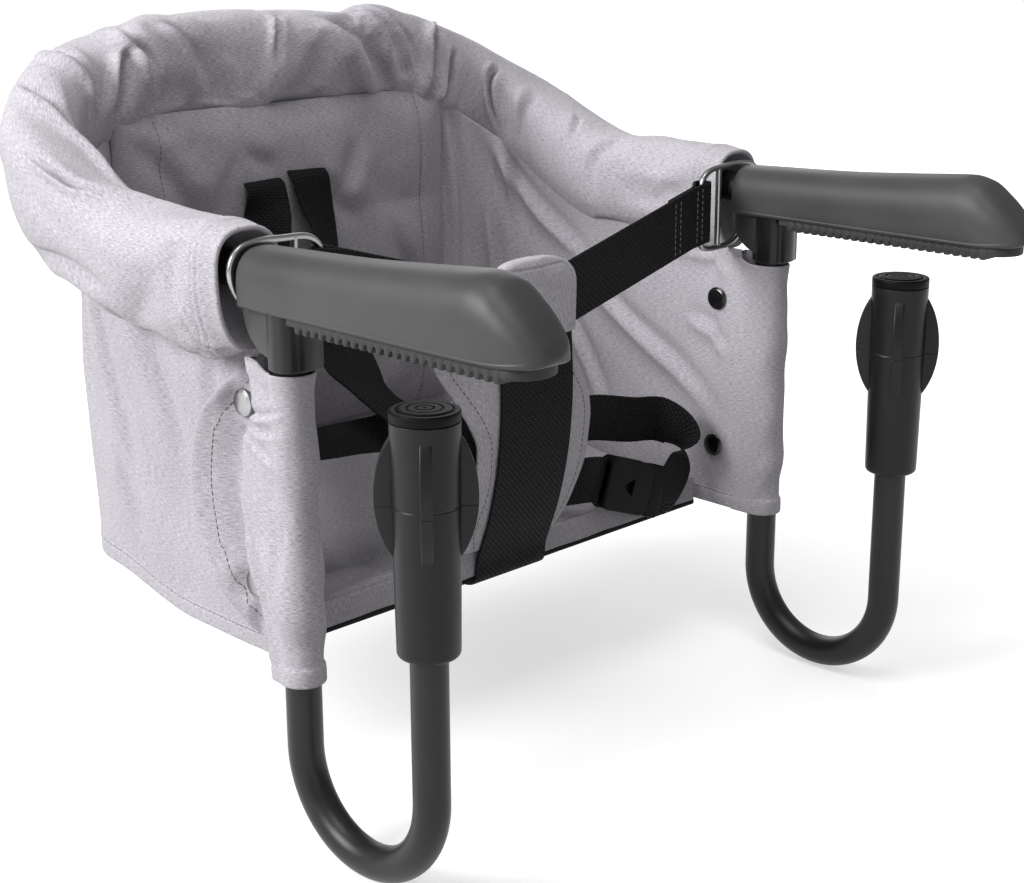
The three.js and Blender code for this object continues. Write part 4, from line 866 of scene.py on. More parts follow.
def spreadMoves(points, coarse, moves):  # each point moves as the coarse points nearest to it do
    total = np.empty_like(points)
    for start in range(0, len(points), settling["atOnce"]):
        part = points[start:start + settling["atOnce"]]
        far = ((part[:, None] - coarse[None]) ** 2).sum(2)
        nearest = np.argpartition(far, settling["near"], axis=1)[:, :settling["near"]]
        weight = 1 / (np.take_along_axis(far, nearest, 1) + (settling["cell"] / 3) ** 2)
        weight /= weight.sum(1, keepdims=True)
        total[start:start + len(part)] = (moves[nearest] * weight[..., None]).sum(1)
    return total


def settleCloth(piece, loosen, pressure, most, heldShare):
    # cloth simulation on an even coarse copy: it is loosened a little and filled with air, held where
    # heldShare of a point is 1; the padded piece then takes over the copy's moves, up to most millimetres
    scene = bpy.context.scene
    coarse = bpy.data.objects.new(piece.name + "_coarse", piece.data.copy())
    scene.collection.objects.link(coarse)
    even = coarse.modifiers.new("even", "REMESH")
    even.mode, even.voxel_size = "VOXEL", settling["cell"]
    evaluated = coarse.evaluated_get(bpy.context.evaluated_depsgraph_get())
    mesh = bpy.data.meshes.new_from_object(evaluated)
    coarse.modifiers.remove(even)
    coarse.data = mesh
    before = meshPoints(mesh)
    held = heldShare(before / millimetre + (0, 0, soleHeight))
    group = coarse.vertex_groups.new(name="held")
    for level in np.linspace(0.1, 1, 10):
        inLevel = np.flatnonzero(np.abs(held - level) <= 0.05)
        group.add(inLevel.tolist(), float(level), "REPLACE")
    cloth = coarse.modifiers.new("cloth", "CLOTH")
    cloth.settings.vertex_group_mass = "held"
    cloth.settings.mass = settling["mass"]
    cloth.settings.tension_stiffness = cloth.settings.compression_stiffness = settling["stiffness"]
    cloth.settings.bending_stiffness = settling["bending"]
    cloth.settings.shrink_min = -loosen
    cloth.settings.use_pressure = True
    cloth.settings.uniform_pressure_force = pressure
    cloth.settings.effector_weights.gravity = 0
    cloth.collision_settings.use_collision = False
    cloth.point_cache.frame_start, cloth.point_cache.frame_end = 1, settling["frames"]
    for time in range(1, settling["frames"] + 1):
        scene.frame_set(time)
    evaluated = coarse.evaluated_get(bpy.context.evaluated_depsgraph_get())
    moves = meshPoints(evaluated.data) - before
    length = np.linalg.norm(moves, axis=1, keepdims=True)
    limit = most * millimetre
    moves *= limit * np.tanh(length / limit) / np.maximum(length, 1e-9) * (1 - held[:, None])
    points = meshPoints(piece.data)
    points += spreadMoves(points, before, moves)
    piece.data.vertices.foreach_set("co", points.ravel())
    piece.data.update()
    print("stage: settled", piece.name)
    scene.frame_set(1)
    bpy.data.objects.remove(coarse)
    bpy.data.meshes.remove(mesh)


# Bolster: a padded sleeve round the hoop, open in a hem at both front ends

bolster = {
    "front": 26, "halfWidth": 19, "outward": 1, "top": 21, "bottom": 30, "sag": 6, "tunnel": 9.4,
    "cloth": 2.4, "powers": (2.6, 2.4), "hem": 14, "hemStitches": (9.6, 12.8), "sides": 120, "step": 1.7,
    "degree": 0.42, "droop": 7,
}
bolsterRun = runAtY(bolster["front"])
# lines of (run, degrees round from the outer side over the top), then width and depth
bolsterCreases = [
    ([(-124, 50), (-134, 110), (-132, 160), (-124, 215)], 2.6, 3.4),
    ([(-142, 40), (-157, 88), (-184, 122), (-214, 131), (-250, 122)], 3.0, 3.2),
    ([(-186, 40), (-208, 50), (-228, 58), (-247, 84), (-262, 108)], 2.2, 2.6),
    ([(-93, 92), (-95, 140), (-88, 177), (-86, 212)], 2.6, 3.4),
    ([(-97, 150), (-104, 181), (-116, 210)], 3.4, 3.6),
    ([(1, 112), (-5, 158), (-10, 192)], 1.6, 2.4),
    ([(20, 122), (46, 170), (62, 200), (80, 240)], 4.6, 2.8),
    ([(52, 112), (70, 175), (80, 212)], 2.8, 2.4),
    ([(66, 118), (82, 170), (94, 205)], 2.4, 2.2),
    ([(122, 120), (104, 175), (101, 200), (94, 250)], 2.6, 4.2),
    ([(132, 150), (116, 200), (100, 240)], 2.4, 3.0),
    ([(165, 128), (156, 180), (163, 212)], 1.8, 3.0),
    ([(222, 96), (229, 160)], 1.8, 1.8),
    ([(-73, 118), (-59, 175), (-50, 215)], 4.2, 2.4),
    ([(196, 120), (190, 165), (184, 205)], 3.6, 2.0),
    ([(262, 110), (250, 160), (246, 200)], 3.8, 1.8),
    ([(-322, 268), (-308, 292), (-296, 330)], 1.6, 1.8),
    ([(-325, 288), (-314, 312), (-306, 340)], 1.3, 1.6),
    ([(-318, 250), (-300, 262), (-280, 300)], 2.0, 1.8),
    ([(322, 268), (308, 292), (296, 330)], 1.6, 1.8),
    ([(320, 232), (306, 214), (292, 190)], 1.6, 1.6),
    ([(-180, 300), (-215, 330), (-262, 340)], 3.4, 1.8),
]


def bolsterShape(run):
    share = np.abs(run) / bolsterRun
    hem = smooth((np.abs(run) - bolsterRun + bolster["hem"]) / bolster["hem"])
    drawn = 1 - 0.08 * hem
    droop = bolster["droop"] * smooth((np.abs(run) - bolsterRun + 90) / 80)
    deep = (bolster["bottom"] + droop + bolster["sag"] * np.sin(math.pi * np.minimum(share, 1))) * drawn
    return bolster["halfWidth"] * drawn, bolster["top"] * drawn, deep, hem


def bolsterUnderside(run, across):
    halfWidth, _, bottom, _ = bolsterShape(run)
    off, power = np.minimum(np.abs(across - bolster["outward"]) / halfWidth, 0.98), bolster["powers"][1]
    return hoopHeight(run) - bottom * (1 - off ** power) ** (1 / power)


def bolsterGrids():
    edge = bolsterRun - np.arange(0, 18, 0.6)
    middle = np.linspace(-edge[-1] + 0.8, edge[-1] - 0.8, int(2 * edge[-1] / bolster["step"]))
    run = np.concatenate([-edge, middle, edge[::-1]])[:, None]
    turn = np.linspace(0, fullTurn, bolster["sides"], endpoint=False)[None]
    halfWidth, top, bottom, hem = bolsterShape(run)
    across, over = ovalPoint(turn, halfWidth, top, bottom, bolster["powers"])
    degrees = np.degrees(turn)
    relief = creased(run, degrees * bolster["degree"], [
        ([(place, angle * bolster["degree"]) for place, angle in line], width, depth)
        for line, width, depth in bolsterCreases
    ])
    relief = relief * 1.8 + 1.3 * rumpled(run, degrees * bolster["degree"], 62, 3) * (1 - hem)
    fromEnd = bolsterRun - np.abs(run)
    for place in bolster["hemStitches"]:
        relief -= 0.55 * bell(fromEnd - place, 0.7)
    outward = unit(np.stack(np.broadcast_arrays(across / halfWidth, over / top), -1))
    across = across + relief * outward[..., 0] + bolster["outward"]
    over = over + relief * outward[..., 1]
    x, y, outX, outY = planAt(run)
    outer = xyz(x + outX * across, y + outY * across, hoopHeight(run) + over)
    inside = np.linspace(-bolsterRun, bolsterRun, 121)
    origins, side, square = hoopStations(inside)
    halfWidth, top, bottom, hem = bolsterShape(inside[:, None])
    cloth, powers = bolster["cloth"], bolster["powers"]
    mouthAcross, mouthOver = ovalPoint(turn, halfWidth - cloth, top - cloth, bottom - cloth, powers)
    circle = bolster["tunnel"] * towards(turn[0])
    opened = smooth((np.abs(inside) - bolsterRun + 2 * bolster["hem"]) / (2 * bolster["hem"]))[:, None, None]
    mouth = np.stack([mouthAcross + bolster["outward"], mouthOver], -1)
    section = mix(circle, mouth, opened)
    tilted = unit(mix(square, sameWay((0, 0, 1), square), opened[:, 0]))
    inner = carried(origins, side, tilted, section)[::-1]
    step = np.linspace(0, math.pi, 7)[1:-1, None, None]
    lips = [mix(start, end, 0.5 - 0.5 * np.cos(step)) - (0, cloth / 2, 0) * np.sin(step)
            for start, end in ((outer[-1], inner[0]), (inner[-1], outer[0]))]
    return np.concatenate([outer, lips[0], inner, lips[1], outer[:1]])


def makeBolster():
    piece = makePiece("bolster", [(bolsterGrids(), True)], marledGrey, "frame", ["bolster"])

    def heldShare(points):
        # held at both hems and round the tube
        front = smooth((bolster["front"] + 26 - points[:, 1]) / 20)
        pastX = np.maximum(np.abs(points[:, 0]) - flatHalf, 0)
        pastY = np.maximum(points[:, 1] - hoop["depth"] + hoop["corner"], 0)
        away = np.hypot(pastX, pastY) - hoop["corner"]
        height = points[:, 2] - hoopHeight(runAtY(points[:, 1]))
        inTube = np.hypot(away, height) < bolster["tunnel"] + 3
        return np.maximum(front, inTube)

    settleCloth(piece, 0.07, 2.5, 4, heldShare)


# Walls of cloth that hang from the bolster, with a doubled hem along the bottom

wall = {
    "inward": 8, "thickness": 2.4, "cloth": 1.5, "lean": 2, "leanRun": 100, "front": 12, "frontInset": 1.3,
    "frontRun": 50, "topClear": 1.4, "hem": 30, "hemRise": 12, "riseStart": 92, "riseEnd": 165, "fold": 1.4,
    "foldCount": 5, "band": 8.5, "stitchIn": 0.9, "height": 150, "tucked": 9, "step": 2.0, "pinch": 5.5,
    "pinchWidth": 34,
}
wallFrontRun = runAtY(wall["front"])
cornerMiddleRun = flatHalf + hoop["corner"] * math.pi / 4
ringBottom = hoop["height"] + hoop["radius"] + ring["bar"] - ring["height"] - ring["gap"]


def wallInset(run, heightShare):
    forward = wallFrontRun - np.abs(run)
    lean = wall["lean"] * (1 - heightShare) ** 2 * smooth(forward / wall["leanRun"])
    return wall["inward"] + lean + wall["frontInset"] * (1 - smooth(forward / wall["frontRun"]))


def cornerPinch(run, heightShare):  # the cloth is drawn in under the bolster at the rear corners
    near = bell(np.abs(run) - cornerMiddleRun, wall["pinchWidth"])
    return wall["pinch"] * near * mix(0.45, 1, smooth((heightShare - 0.3) / 0.7))


def hemHeight(run):
    risen = (runAtY(wall["riseStart"]) - np.abs(run)) / (wall["riseEnd"] - wall["riseStart"])
    return wall["hem"] + wall["hemRise"] * smooth(risen)


def wallTop(run):
    underBolster = bolsterUnderside(run, -wallInset(run, 1)) - wall["topClear"]
    ahead = smooth((np.abs(run) - bolsterRun) / 3 + 1)
    return mix(underBolster + wall["tucked"], np.minimum(underBolster, ringBottom), ahead)


def wallGrids(fromRun, toRun):
    # height is the nominal one: shares of it are stretched between the hem and the bolster
    length, height = abs(toRun - fromRun), wall["height"]
    alongShares = edgedShares(length, 1.2, wall["step"])
    band = wall["band"] / height
    upShares = np.concatenate([edgedShares(height, 1.2, wall["step"]), band + np.linspace(-0.012, 0.012, 9)])
    upShares = np.sort(upShares)
    run = mix(fromRun, toRun, alongShares)[:, None]
    up = upShares[None]
    x, y, outX, outY = planAt(run)
    wave = wall["fold"] * np.sin(np.abs(run) / wallFrontRun * fullTurn * wall["foldCount"]) * up
    fromHem, forward = up * height, wallFrontRun - np.abs(run)
    slack = smooth(fromHem / 30) * smooth((height - fromHem) / 12)
    relief = creased(run, fromHem, wallCreases) + 1.1 * rumpled(run, fromHem * 0.45, 46, 5) * slack
    relief = relief * smooth(forward / 16) * smooth((height - fromHem) / 16 + 0.25)
    outward = wave * smooth(forward / wall["frontRun"] - 1) - wallInset(run, up) + relief
    outward = outward - cornerPinch(run, up)
    middle = xyz(x + outX * outward, y + outY * outward, mix(hemHeight(run), wallTop(run), up))
    inBand = smooth((wall["band"] - fromHem) / 0.5 + 0.5)
    groove = bell(fromHem - wall["band"] + wall["stitchIn"], 0.5)
    thickness = wall["cloth"] + 0.9 * inBand - 0.9 * groove + run * 0
    border = borderDistance(alongShares * length, upShares * height)
    return sheetGrids(middle, thickness, border), middle, upShares


# lines of (run, height over the hem), then width and depth
wallCreases = [
    ([(-226, 154), (-240, 130), (-256, 100), (-268, 62)], 7.5, 3.0),
    ([(-184, 152), (-202, 108), (-222, 60), (-228, 34)], 6.5, 3.0),
    ([(-208, 70), (-216, 42), (-230, 18)], 4.6, 2.2),
    ([(-296, 150), (-288, 122), (-298, 92)], 6.0, 1.6),
    ([(-160, 148), (-170, 108), (-184, 60)], 6.0, 2.4),
    ([(-124, 136), (-114, 84), (-120, 40)], 5.0, 2.4),
    ([(96, 190), (112, 157), (124, 118), (128, 70)], 4.4, 4.0),
    ([(120, 186), (145, 160), (166, 137), (172, 104)], 4.4, 4.4),
    ([(142, 152), (170, 134), (196, 124), (244, 112)], 4.6, 3.6),
    ([(204, 118), (240, 100), (276, 82), (318, 56), (332, 40)], 4.6, 3.4),
    ([(262, 146), (292, 141), (322, 137), (346, 132)], 3.4, 2.2),
    ([(300, 104), (322, 95), (340, 86)], 3.8, 2.2),
    ([(186, 96), (214, 74), (238, 44), (250, 20)], 4.6, 2.8),
    ([(150, 120), (156, 80), (172, 40)], 4.0, 3.2),
    ([(-60, 60), (-20, 40), (30, 44)], 5.0, 1.6),
]


def makeWalls():
    stitches = []
    lapped = cornerMiddleRun - 1
    for name, start, end in (
        ("right_side_panel", wallFrontRun, lapped), ("left_side_panel", -wallFrontRun, -lapped),
        ("back_panel", lapped + 2, -lapped - 2),
    ):
        grids, middle, upShares = wallGrids(start, end)
        piece = makePiece(name, grids, marledGrey, "frame", [name])
        row = np.argmin(np.abs(upShares * wall["height"] - wall["band"] + wall["stitchIn"]))
        for grid, _ in grids:
            stitches.append(grid[3:-3, row])
    makeStitches("wall_hem_stitches", stitches)


# Back pad and seat

backPad = {
    "halfWidth": 112, "bottom": 70, "clearTop": -1, "thickness": 4, "crown": 6, "tufts": 3, "step": 2.2,
    "seam": 88,
}


def makeBackPad():
    width = 2 * backPad["halfWidth"]
    base = -wall["inward"] - wall["lean"] - wall["fold"] - wall["thickness"] / 2 - 0.3
    top = bolsterUnderside(0, -wall["inward"]) - backPad["clearTop"]
    height = top - backPad["bottom"]
    across, up = edgedShares(width, 4, backPad["step"]), edgedShares(height, 4, backPad["step"])
    x = (across - 0.5)[None] * width
    z = backPad["bottom"] + up[:, None] * height
    border = borderDistance(up * height, across * width)
    edge = 1 - np.exp(-border / 9)
    tuft = 0.75 + 0.25 * np.abs(np.sin(math.pi * backPad["tufts"] * up))[:, None]
    creases = [
        ([(-108, 252), (-97, 236), (-80, 214), (-66, 190)], 7.0, 3.0),
        ([(38, 232), (32, 212), (22, 196)], 6.4, 2.6),
        ([(2, 218), (24, 198), (42, 182)], 5.4, 2.2),
        ([(-42, 233), (-29, 225), (-14, 220)], 5.0, 1.6),
        ([(-70, 170), (-52, 150), (-60, 110)], 6.0, 2.2),
        ([(60, 178), (76, 150), (70, 110)], 6.0, 2.4),
    ]
    relief = (creased(x, z, creases) + 0.7 * rumpled(x, z, 54, 17)) * smooth(border / 14)
    groove = 1.2 * bell(backPad["seam"] - np.abs(x), 0.9)
    rounded = rounding(border, 1.2)
    swell = (1.2 + (backPad["thickness"] + backPad["crown"]) * edge * tuft + relief - groove) * rounded
    back = xyz(x, hoop["depth"] + base, z)
    front = back - (0, 1, 0) * swell[..., None]
    piece = makePiece("back_pad", [(front, False), (back, False)], liningGrey, "frame", ["back_pad"])

    def heldShare(points):  # held at its seams and against the back
        fromSide = backPad["seam"] + 2 - np.abs(points[:, 0])
        fromEnd = np.minimum(points[:, 2] - backPad["bottom"], top - points[:, 2])
        behind = hoop["depth"] + base - points[:, 1]
        return 1 - smooth(np.minimum(np.minimum(fromSide, fromEnd) / 12, (behind - 2) / 3))

    settleCloth(piece, 0.02, 0.8, 1.2, heldShare)
    lines = []
    for side in (-1, 1):
        column = np.argmin(np.abs(x[0] - side * backPad["seam"]))
        lines.append(front[4:-4, column] - (0, 0.1, 0))
    makeStitches("back_pad_stitches", lines)


seat = {
    "front": 38, "rear": 197, "rise": 22, "riseRun": 105, "sideMargin": 2.5, "underside": 29, "cover": 1.5,
    "cushion": 35.1, "thickness": 9, "crown": 5, "step": 2.6, "seams": (-74, 74), "binding": 2.6,
}


def seatHalfWidth(y):
    inset = wall["inward"] + wall["lean"] + wall["thickness"] / 2 + seat["sideMargin"]
    radius, into = hoop["corner"] - inset, np.maximum(y - (hoop["depth"] - hoop["corner"]), 0)
    return flatHalf + np.sqrt(np.maximum(radius ** 2 - into ** 2, 0))


def seatLift(y):
    return seat["rise"] * smooth(1 - (seat["rear"] - y) / seat["riseRun"])


def makeCushion():
    length, width = seat["rear"] - seat["front"], 2 * seatHalfWidth(seat["front"])
    along, across = edgedShares(length, 5, seat["step"]), edgedShares(width, 5, seat["step"])
    y = mix(seat["front"], seat["rear"], along)[:, None]
    x = (across - 0.5)[None] * 2 * seatHalfWidth(y)
    dome = (np.sin(math.pi * across)[None] * np.sin(math.pi * along)[:, None]) ** 0.6
    border = borderDistance(along * length, across * width)
    rounded = rounding(border, seat["thickness"] / 2)
    seams = sum(bell(x - place, 1.6) for place in seat["seams"])
    relief = 0.7 * rumpled(x, y, 48, 29) * smooth(border / 14) - 1.5 * seams * smooth(border / 10)
    low = xyz(x, y, seat["cushion"] + seatLift(y) + seat["thickness"] / 2)
    raised = seat["thickness"] / 2 + (seat["crown"] * dome + relief)
    upper = low + (0, 0, 1) * (raised * rounded)[..., None]
    lower = low - (0, 0, 1) * (seat["thickness"] / 2 * rounded)[..., None]
    # the cover's front comes down over the board's edge
    turn = np.linspace(0, fullTurn, 40, endpoint=False)
    half = (seat["cushion"] + seat["thickness"] - seat["underside"] - 2) / 2
    apronY = seat["front"] - 0.7 + 1.3 * signedPower(np.cos(turn), 0.6)
    apronZ = seat["underside"] + 2 + half + half * signedPower(np.sin(turn), 0.5)
    places = (np.linspace(-1, 1, 160) * (width / 2 - 2))[:, None]
    apron = xyz(places, apronY[None] - 0.35 * rumpled(places, apronZ[None], 26, 7), apronZ[None])
    grids = [(upper, False), (lower, False), (closedEnds(apron), True)]
    piece = makePiece("seat_cushion", grids, liningGrey, "frame", ["seat_cushion"])

    def heldShare(points):  # held along its front, its sides and its underside
        fromFront, fromRear = points[:, 1] - seat["front"], seat["rear"] - points[:, 1]
        fromSide = seatHalfWidth(points[:, 1]) - np.abs(points[:, 0])
        above = points[:, 2] - seat["cushion"] - seatLift(points[:, 1]) - seat["thickness"] / 2
        return 1 - smooth(np.minimum(np.minimum(np.minimum(fromFront, fromRear), fromSide) / 14, above / 3))

    settleCloth(piece, 0.06, 1.5, 3, heldShare)


def makeBaseCover():
    # thin black cloth under the seat; its front edge turns up as a binding along the seat's front
    length, width = seat["rear"] - seat["front"], 2 * seatHalfWidth(seat["front"])
    along, across = edgedShares(length, 1.2, 4), edgedShares(width, 1.2, 4)
    y = mix(seat["front"], seat["rear"], along)[:, None]
    x = (across - 0.5)[None] * 2 * seatHalfWidth(y)
    middle = xyz(x, y, seat["underside"] + seat["cover"] / 2 + seatLift(y))
    border = borderDistance(along * length, across * width)
    piece = makePiece("base_cover", sheetGrids(middle, seat["cover"], border), blackCloth, "frame",
                      ["base_cover"])
    front, bottom = seat["front"], seat["underside"]
    top, turn = bottom + seat["binding"], np.linspace(0, math.pi, 9)
    profile = np.concatenate([
        [(front + 3, bottom - 0.2), (front + 3, bottom - 0.5)],
        np.stack([front - 0.9 - 0.6 * np.sin(turn), mix(bottom - 0.6, top, turn / math.pi)], -1),
        [(front - 0.1, top), (front - 0.1, bottom + 0.4)],
    ])
    places = np.linspace(-1, 1, 120) * (width / 2 - 1)
    strip = xyz(places[:, None], profile[None, :, 0], profile[None, :, 1])
    makePiece("seat_binding", [(closedEnds(strip), True)], blackCloth, "frame", ())


# The flap round each rear leg and its snaps

flap = {
    "radius": 9.3, "thickness": 1.8, "cloth": 1.3, "reach": 53, "least": 14, "middleShare": 0.555,
    "upperShare": 0.437, "lowerShare": 0.573, "upperPower": 2, "lowerPower": 1.6, "bottom": 29.5, "top": 169,
    "wrapPast": 0.4, "off": 0.5, "hem": 10, "footHem": 8, "root": 14.5, "raised": 7, "slope": 0.1, "fall": 5,
    "topRise": 5, "curl": 1.6, "stitchIn": 0.9,
}
# how far back the loose cloth round the leg comes to lie on the wall, at heights
flapMeet = {
    "height": [29, 49, 64, 80, 94, 117, 136, 148, 160, 170],
    "y": [15, 17, 21, 28, 32, 34, 30, 21, 24, 28],
}
snap = {
    "capYs": (36, 39), "studY": 27, "heightShares": (0.25, 0.846), "capRadius": 6.3, "capHeight": 2,
    "studRadius": 6.2, "studHeight": 1.8,
}


def flapReach(height):
    share = (height - flap["bottom"]) / (flap["top"] - flap["bottom"])
    upper = share > flap["middleShare"]
    power = np.where(upper, flap["upperPower"], flap["lowerPower"])
    off = np.abs(share - flap["middleShare"]) / np.where(upper, flap["upperShare"], flap["lowerShare"])
    return flap["least"] + flap["reach"] * np.maximum(1 - off ** power, 0) ** (1 / power)


def flapTailX(y, outward):
    return (legOffset - wallInset(runAtY(y), 1) + wall["thickness"] / 2 + flap["off"] + flap["thickness"] / 2
            + outward)


def flapPoint(step, height, outward):
    # step runs from -1 to 0 out of the wall's end, on to 1 round the leg and to 2 back along the wall
    wrapShare, tailShare = np.clip(step, 0, 1), np.clip(step - 1, 0, 1)
    angle = mix(math.pi, fullTurn + flap["wrapPast"], wrapShare)
    radius = flap["radius"] + outward
    wrapX = legOffset + radius * np.cos(angle)
    wrapY = radius * np.sin(angle) - np.minimum(step, 0) * flap["root"]
    y = mix(wrapY, flapReach(height), tailShare)
    meet = readThrough(flapMeet["height"], flapMeet["y"], height)
    full = wrapX - flap["slope"] * (y - wrapY)
    settled = smooth((y - meet + flap["fall"]) / flap["fall"])
    x = np.where(tailShare > 0, mix(full, flapTailX(y, outward), settled), wrapX)
    risen = flap["topRise"] * smooth((y - 5) / 14) * smooth((height - flap["top"]) / 20 + 1)
    return xyz(x, y, height + risen)


def makeFlaps():
    height = flap["top"] - flap["bottom"]
    up = 0.5 - 0.5 * np.cos(math.pi * np.linspace(0, 1, 120))
    tailSteps = 1 + edgedShares(60, 1.2, 1.5)[6:]
    steps = np.concatenate([np.linspace(-1, 0, 13)[:-1], np.linspace(0, 1, 40), tailSteps])
    heights = (flap["bottom"] + up * height)[None]
    base = flapPoint(steps[:, None], heights, 0)
    spread = np.cumsum(np.linalg.norm(np.diff(base, axis=0, prepend=base[:1]), axis=2), axis=0)
    border = np.minimum(heights - flap["bottom"], flap["top"] - heights)
    border = np.minimum(np.minimum(spread, spread[-1] - spread), border)
    fromEdge = np.minimum(spread[-1] - spread, (heights - flap["bottom"]) * flap["hem"] / flap["footHem"])
    fromEdge = np.where(steps[:, None] > 1.02, np.minimum(fromEdge, (flap["top"] - heights) * 1.6), fromEdge)
    turnY = base[..., 1]
    upper, lower = (flap["bottom"] + height * share for share in snap["heightShares"][::-1])
    creases = [
        ([(30, upper + 3), (12, upper + 2), (-6, upper + 7)], 1.3, 2.0),
        ([(30, upper - 1), (14, upper - 5), (-4, upper - 2)], 1.5, 2.2),
        ([(28, upper - 4), (10, upper - 14), (-2, upper - 16)], 1.8, 1.6),
        ([(33, upper - 7), (26, 110), (20, 84), (8, 50)], 3.2, 1.6),
        ([(24, lower + 26), (14, lower + 8), (2, 40)], 3.4, 1.5),
        ([(6, 136), (0, 104), (4, 70)], 3.8, 1.4),
    ]
    inField = smooth((fromEdge - flap["hem"]) / 2) * smooth(steps[:, None] * 4)
    bulges = 0.8 * np.sin(heights / 9 + 0.8 * np.sin(heights / 23)) * smooth((14 - np.abs(turnY + 2)) / 8)
    relief = (creased(turnY, heights, creases) + 0.6 * rumpled(spread, heights, 30, 41) + bulges) * inField
    # the band stands off the wall, most at its edge, and past its stitches the cloth slopes back to the wall
    band = mix(flap["curl"], 1, smooth(fromEdge / flap["hem"]))
    past = smooth((fromEdge - flap["hem"] + 2) / 15)
    upright = smooth((heights - flap["bottom"]) / 40) * smooth((flap["top"] - heights) / 26)
    relief = relief + flap["raised"] * band * (1 - past) * upright * smooth((turnY - 34) / 5)
    for level, y in ((upper, snap["capYs"][1]), (lower, snap["capYs"][0])):
        relief = relief * (1 - bell((turnY - y) ** 2 + (heights - level) ** 2, 70))
    inBand = smooth((flap["hem"] - fromEdge) / 0.6 + 0.5)
    groove = bell(fromEdge - flap["hem"] + flap["stitchIn"], 0.5)
    thickness = flap["cloth"] + 0.8 * inBand - 0.9 * groove
    # the relief goes to the side that faces away from the chair
    outward = 1 if sheetGrids(base, thickness, border)[0][0][60, 60, 0] > base[60, 60, 0] else -1
    grids = sheetGrids(base, thickness, border, outward * np.maximum(relief, -0.7))
    pieces = makePair("leg_flap", grids, marledGrey, "frame")
    outer = max((grid for grid, _ in grids), key=lambda grid: grid[60, 60, 0])
    column = np.argmin(np.abs(fromEdge - flap["hem"] + flap["stitchIn"]), axis=0)
    line = outer[column, np.arange(len(up))][8:-12]
    makeStitches("right_flap_stitches", [line])
    makeStitches("left_flap_stitches", [line * (-1, 1, 1)])


def snapDisc(radius, height, backX, facing, y, z):
    # a shallow dome with a rolled rim and a fine line inside the rim
    reach = np.linspace(radius * 0.86, 0, 24)
    line = 0.22 * bell(reach - radius * 0.84, 0.22)
    dome = height * (0.72 + 0.28 * np.sqrt(1 - (reach / radius) ** 2)) - line
    roll = np.linspace(0, math.pi, 9)
    rim = np.stack([radius * (0.93 + 0.07 * np.sin(roll)), height * 0.35 * (1 - np.cos(roll)) + 0.1], -1)
    disc = turned(np.concatenate([[(0, 0), (radius * 0.9, 0)], rim, np.stack([reach, dome], -1)]), 48)
    return xyz(backX + facing * disc[..., 2], y + disc[..., 0], z + disc[..., 1])


def makeSnaps():
    run = runAtY(snap["studY"] - snap["studRadius"])
    for level, share, capY in zip(("lower", "upper"), snap["heightShares"], snap["capYs"]):
        capBack = flapTailX(capY + snap["capRadius"], flap["thickness"] / 2) + 0.6
        height = mix(flap["bottom"], flap["top"], share)
        heightShare = (height - snap["studRadius"] - hemHeight(run)) / (wallTop(run) - hemHeight(run))
        studBack = legOffset - wallInset(run, heightShare) - wall["thickness"] / 2 + 0.3
        disc = snapDisc(snap["capRadius"], snap["capHeight"], capBack, 1, capY, height)
        makePair("snap_cap_" + level, [(disc, True)], polished, "frame", sharp=50)
        # the stud's darker plating is painted shade and painted dark reflection
        disc = snapDisc(snap["studRadius"], snap["studHeight"], studBack, -1, snap["studY"], height)
        makePair("snap_stud_" + level, [(disc, True)], shadedStudPlating, "frame", sharp=50)


# Webbing, the crotch pad and its cap

webbing = {"crotch": 50, "diagonal": 32, "waist": 25, "thickness": 1.6}


def flatOutline(width, thickness, steps=12):  # a strip's section with rounded selvedges
    radius, side = thickness / 2, np.linspace(-math.pi / 2, math.pi / 2, 7)
    half = width / 2 - radius
    x = np.linspace(-half, half, steps + 2)[1:-1]
    right = np.stack([half + radius * np.cos(side), radius * np.sin(side)], -1)
    top = np.stack([x[::-1], x * 0 + radius], -1)
    return np.concatenate([right, top, -right, -top])


def ribbonGrid(route, hints, width, step=1.6):
    # a flat strip along a smooth route, its width turned toward hints that change along it
    fine, leans = splined(np.array(route, float)), splined(np.array(hints, float))
    share, place = np.linspace(0, 1, len(leans)), np.linspace(0, 1, len(fine))
    leans = np.stack([np.interp(place, share, leans[:, axis]) for axis in range(3)], -1)
    both = evenly(np.concatenate([fine, leans * 1e-6], 1), max(int(walked(fine)[-1] / step), 8))
    _, across, over = pathFrames(both[:, :3], both[:, 3:] * 1e6)
    return closedEnds(carried(both[:, :3], across, over, flatOutline(width, webbing["thickness"])))


cap = {
    "x": -5, "y": 12, "halfWidth": 27, "halfDepth": 5.6, "bottom": 155, "top": 194, "straightShare": 0.6,
    "seam": 4.5,
}
crotch = {
    "top": 172, "bottom": 45.5, "half": 50, "thickness": 5, "crown": 4, "band": 9, "stitchIn": 1,
    "underSeat": 26.1,
}
# shares of the seat's front edge and of the rise to the cap
crotchRouteShares = [
    [0.437, 1], [0.408, 0.746], [0.489, 0.497], [0.668, 0.279], [0.815, 0.163], [0.9, 0.093],
    [0.937, 0.022], [1.053, 0.003], [1.55, 0], [2.74, 0],
]
crotchWidthShares = {
    "height": [0, 0.1, 0.3, 0.45, 0.55, 0.67, 0.8, 0.9, 1],
    "left": [0.66, 0.76, 0.7, 0.72, 0.82, 1.0, 1.22, 1.28, 1.1],
    "right": [0.6, 0.78, 0.94, 0.94, 0.88, 0.7, 0.5, 0.46, 0.44],
}
crotchRoute = [(0, seat["front"] * along, mix(crotch["underSeat"], cap["bottom"] - 0.3, rise))
               for along, rise in crotchRouteShares]


def crotchFrontY(height):
    front = np.array(crotchRoute[:6])[::-1]
    return readThrough(front[:, 2], front[:, 1], height) + webbing["thickness"] / 2 + 0.6


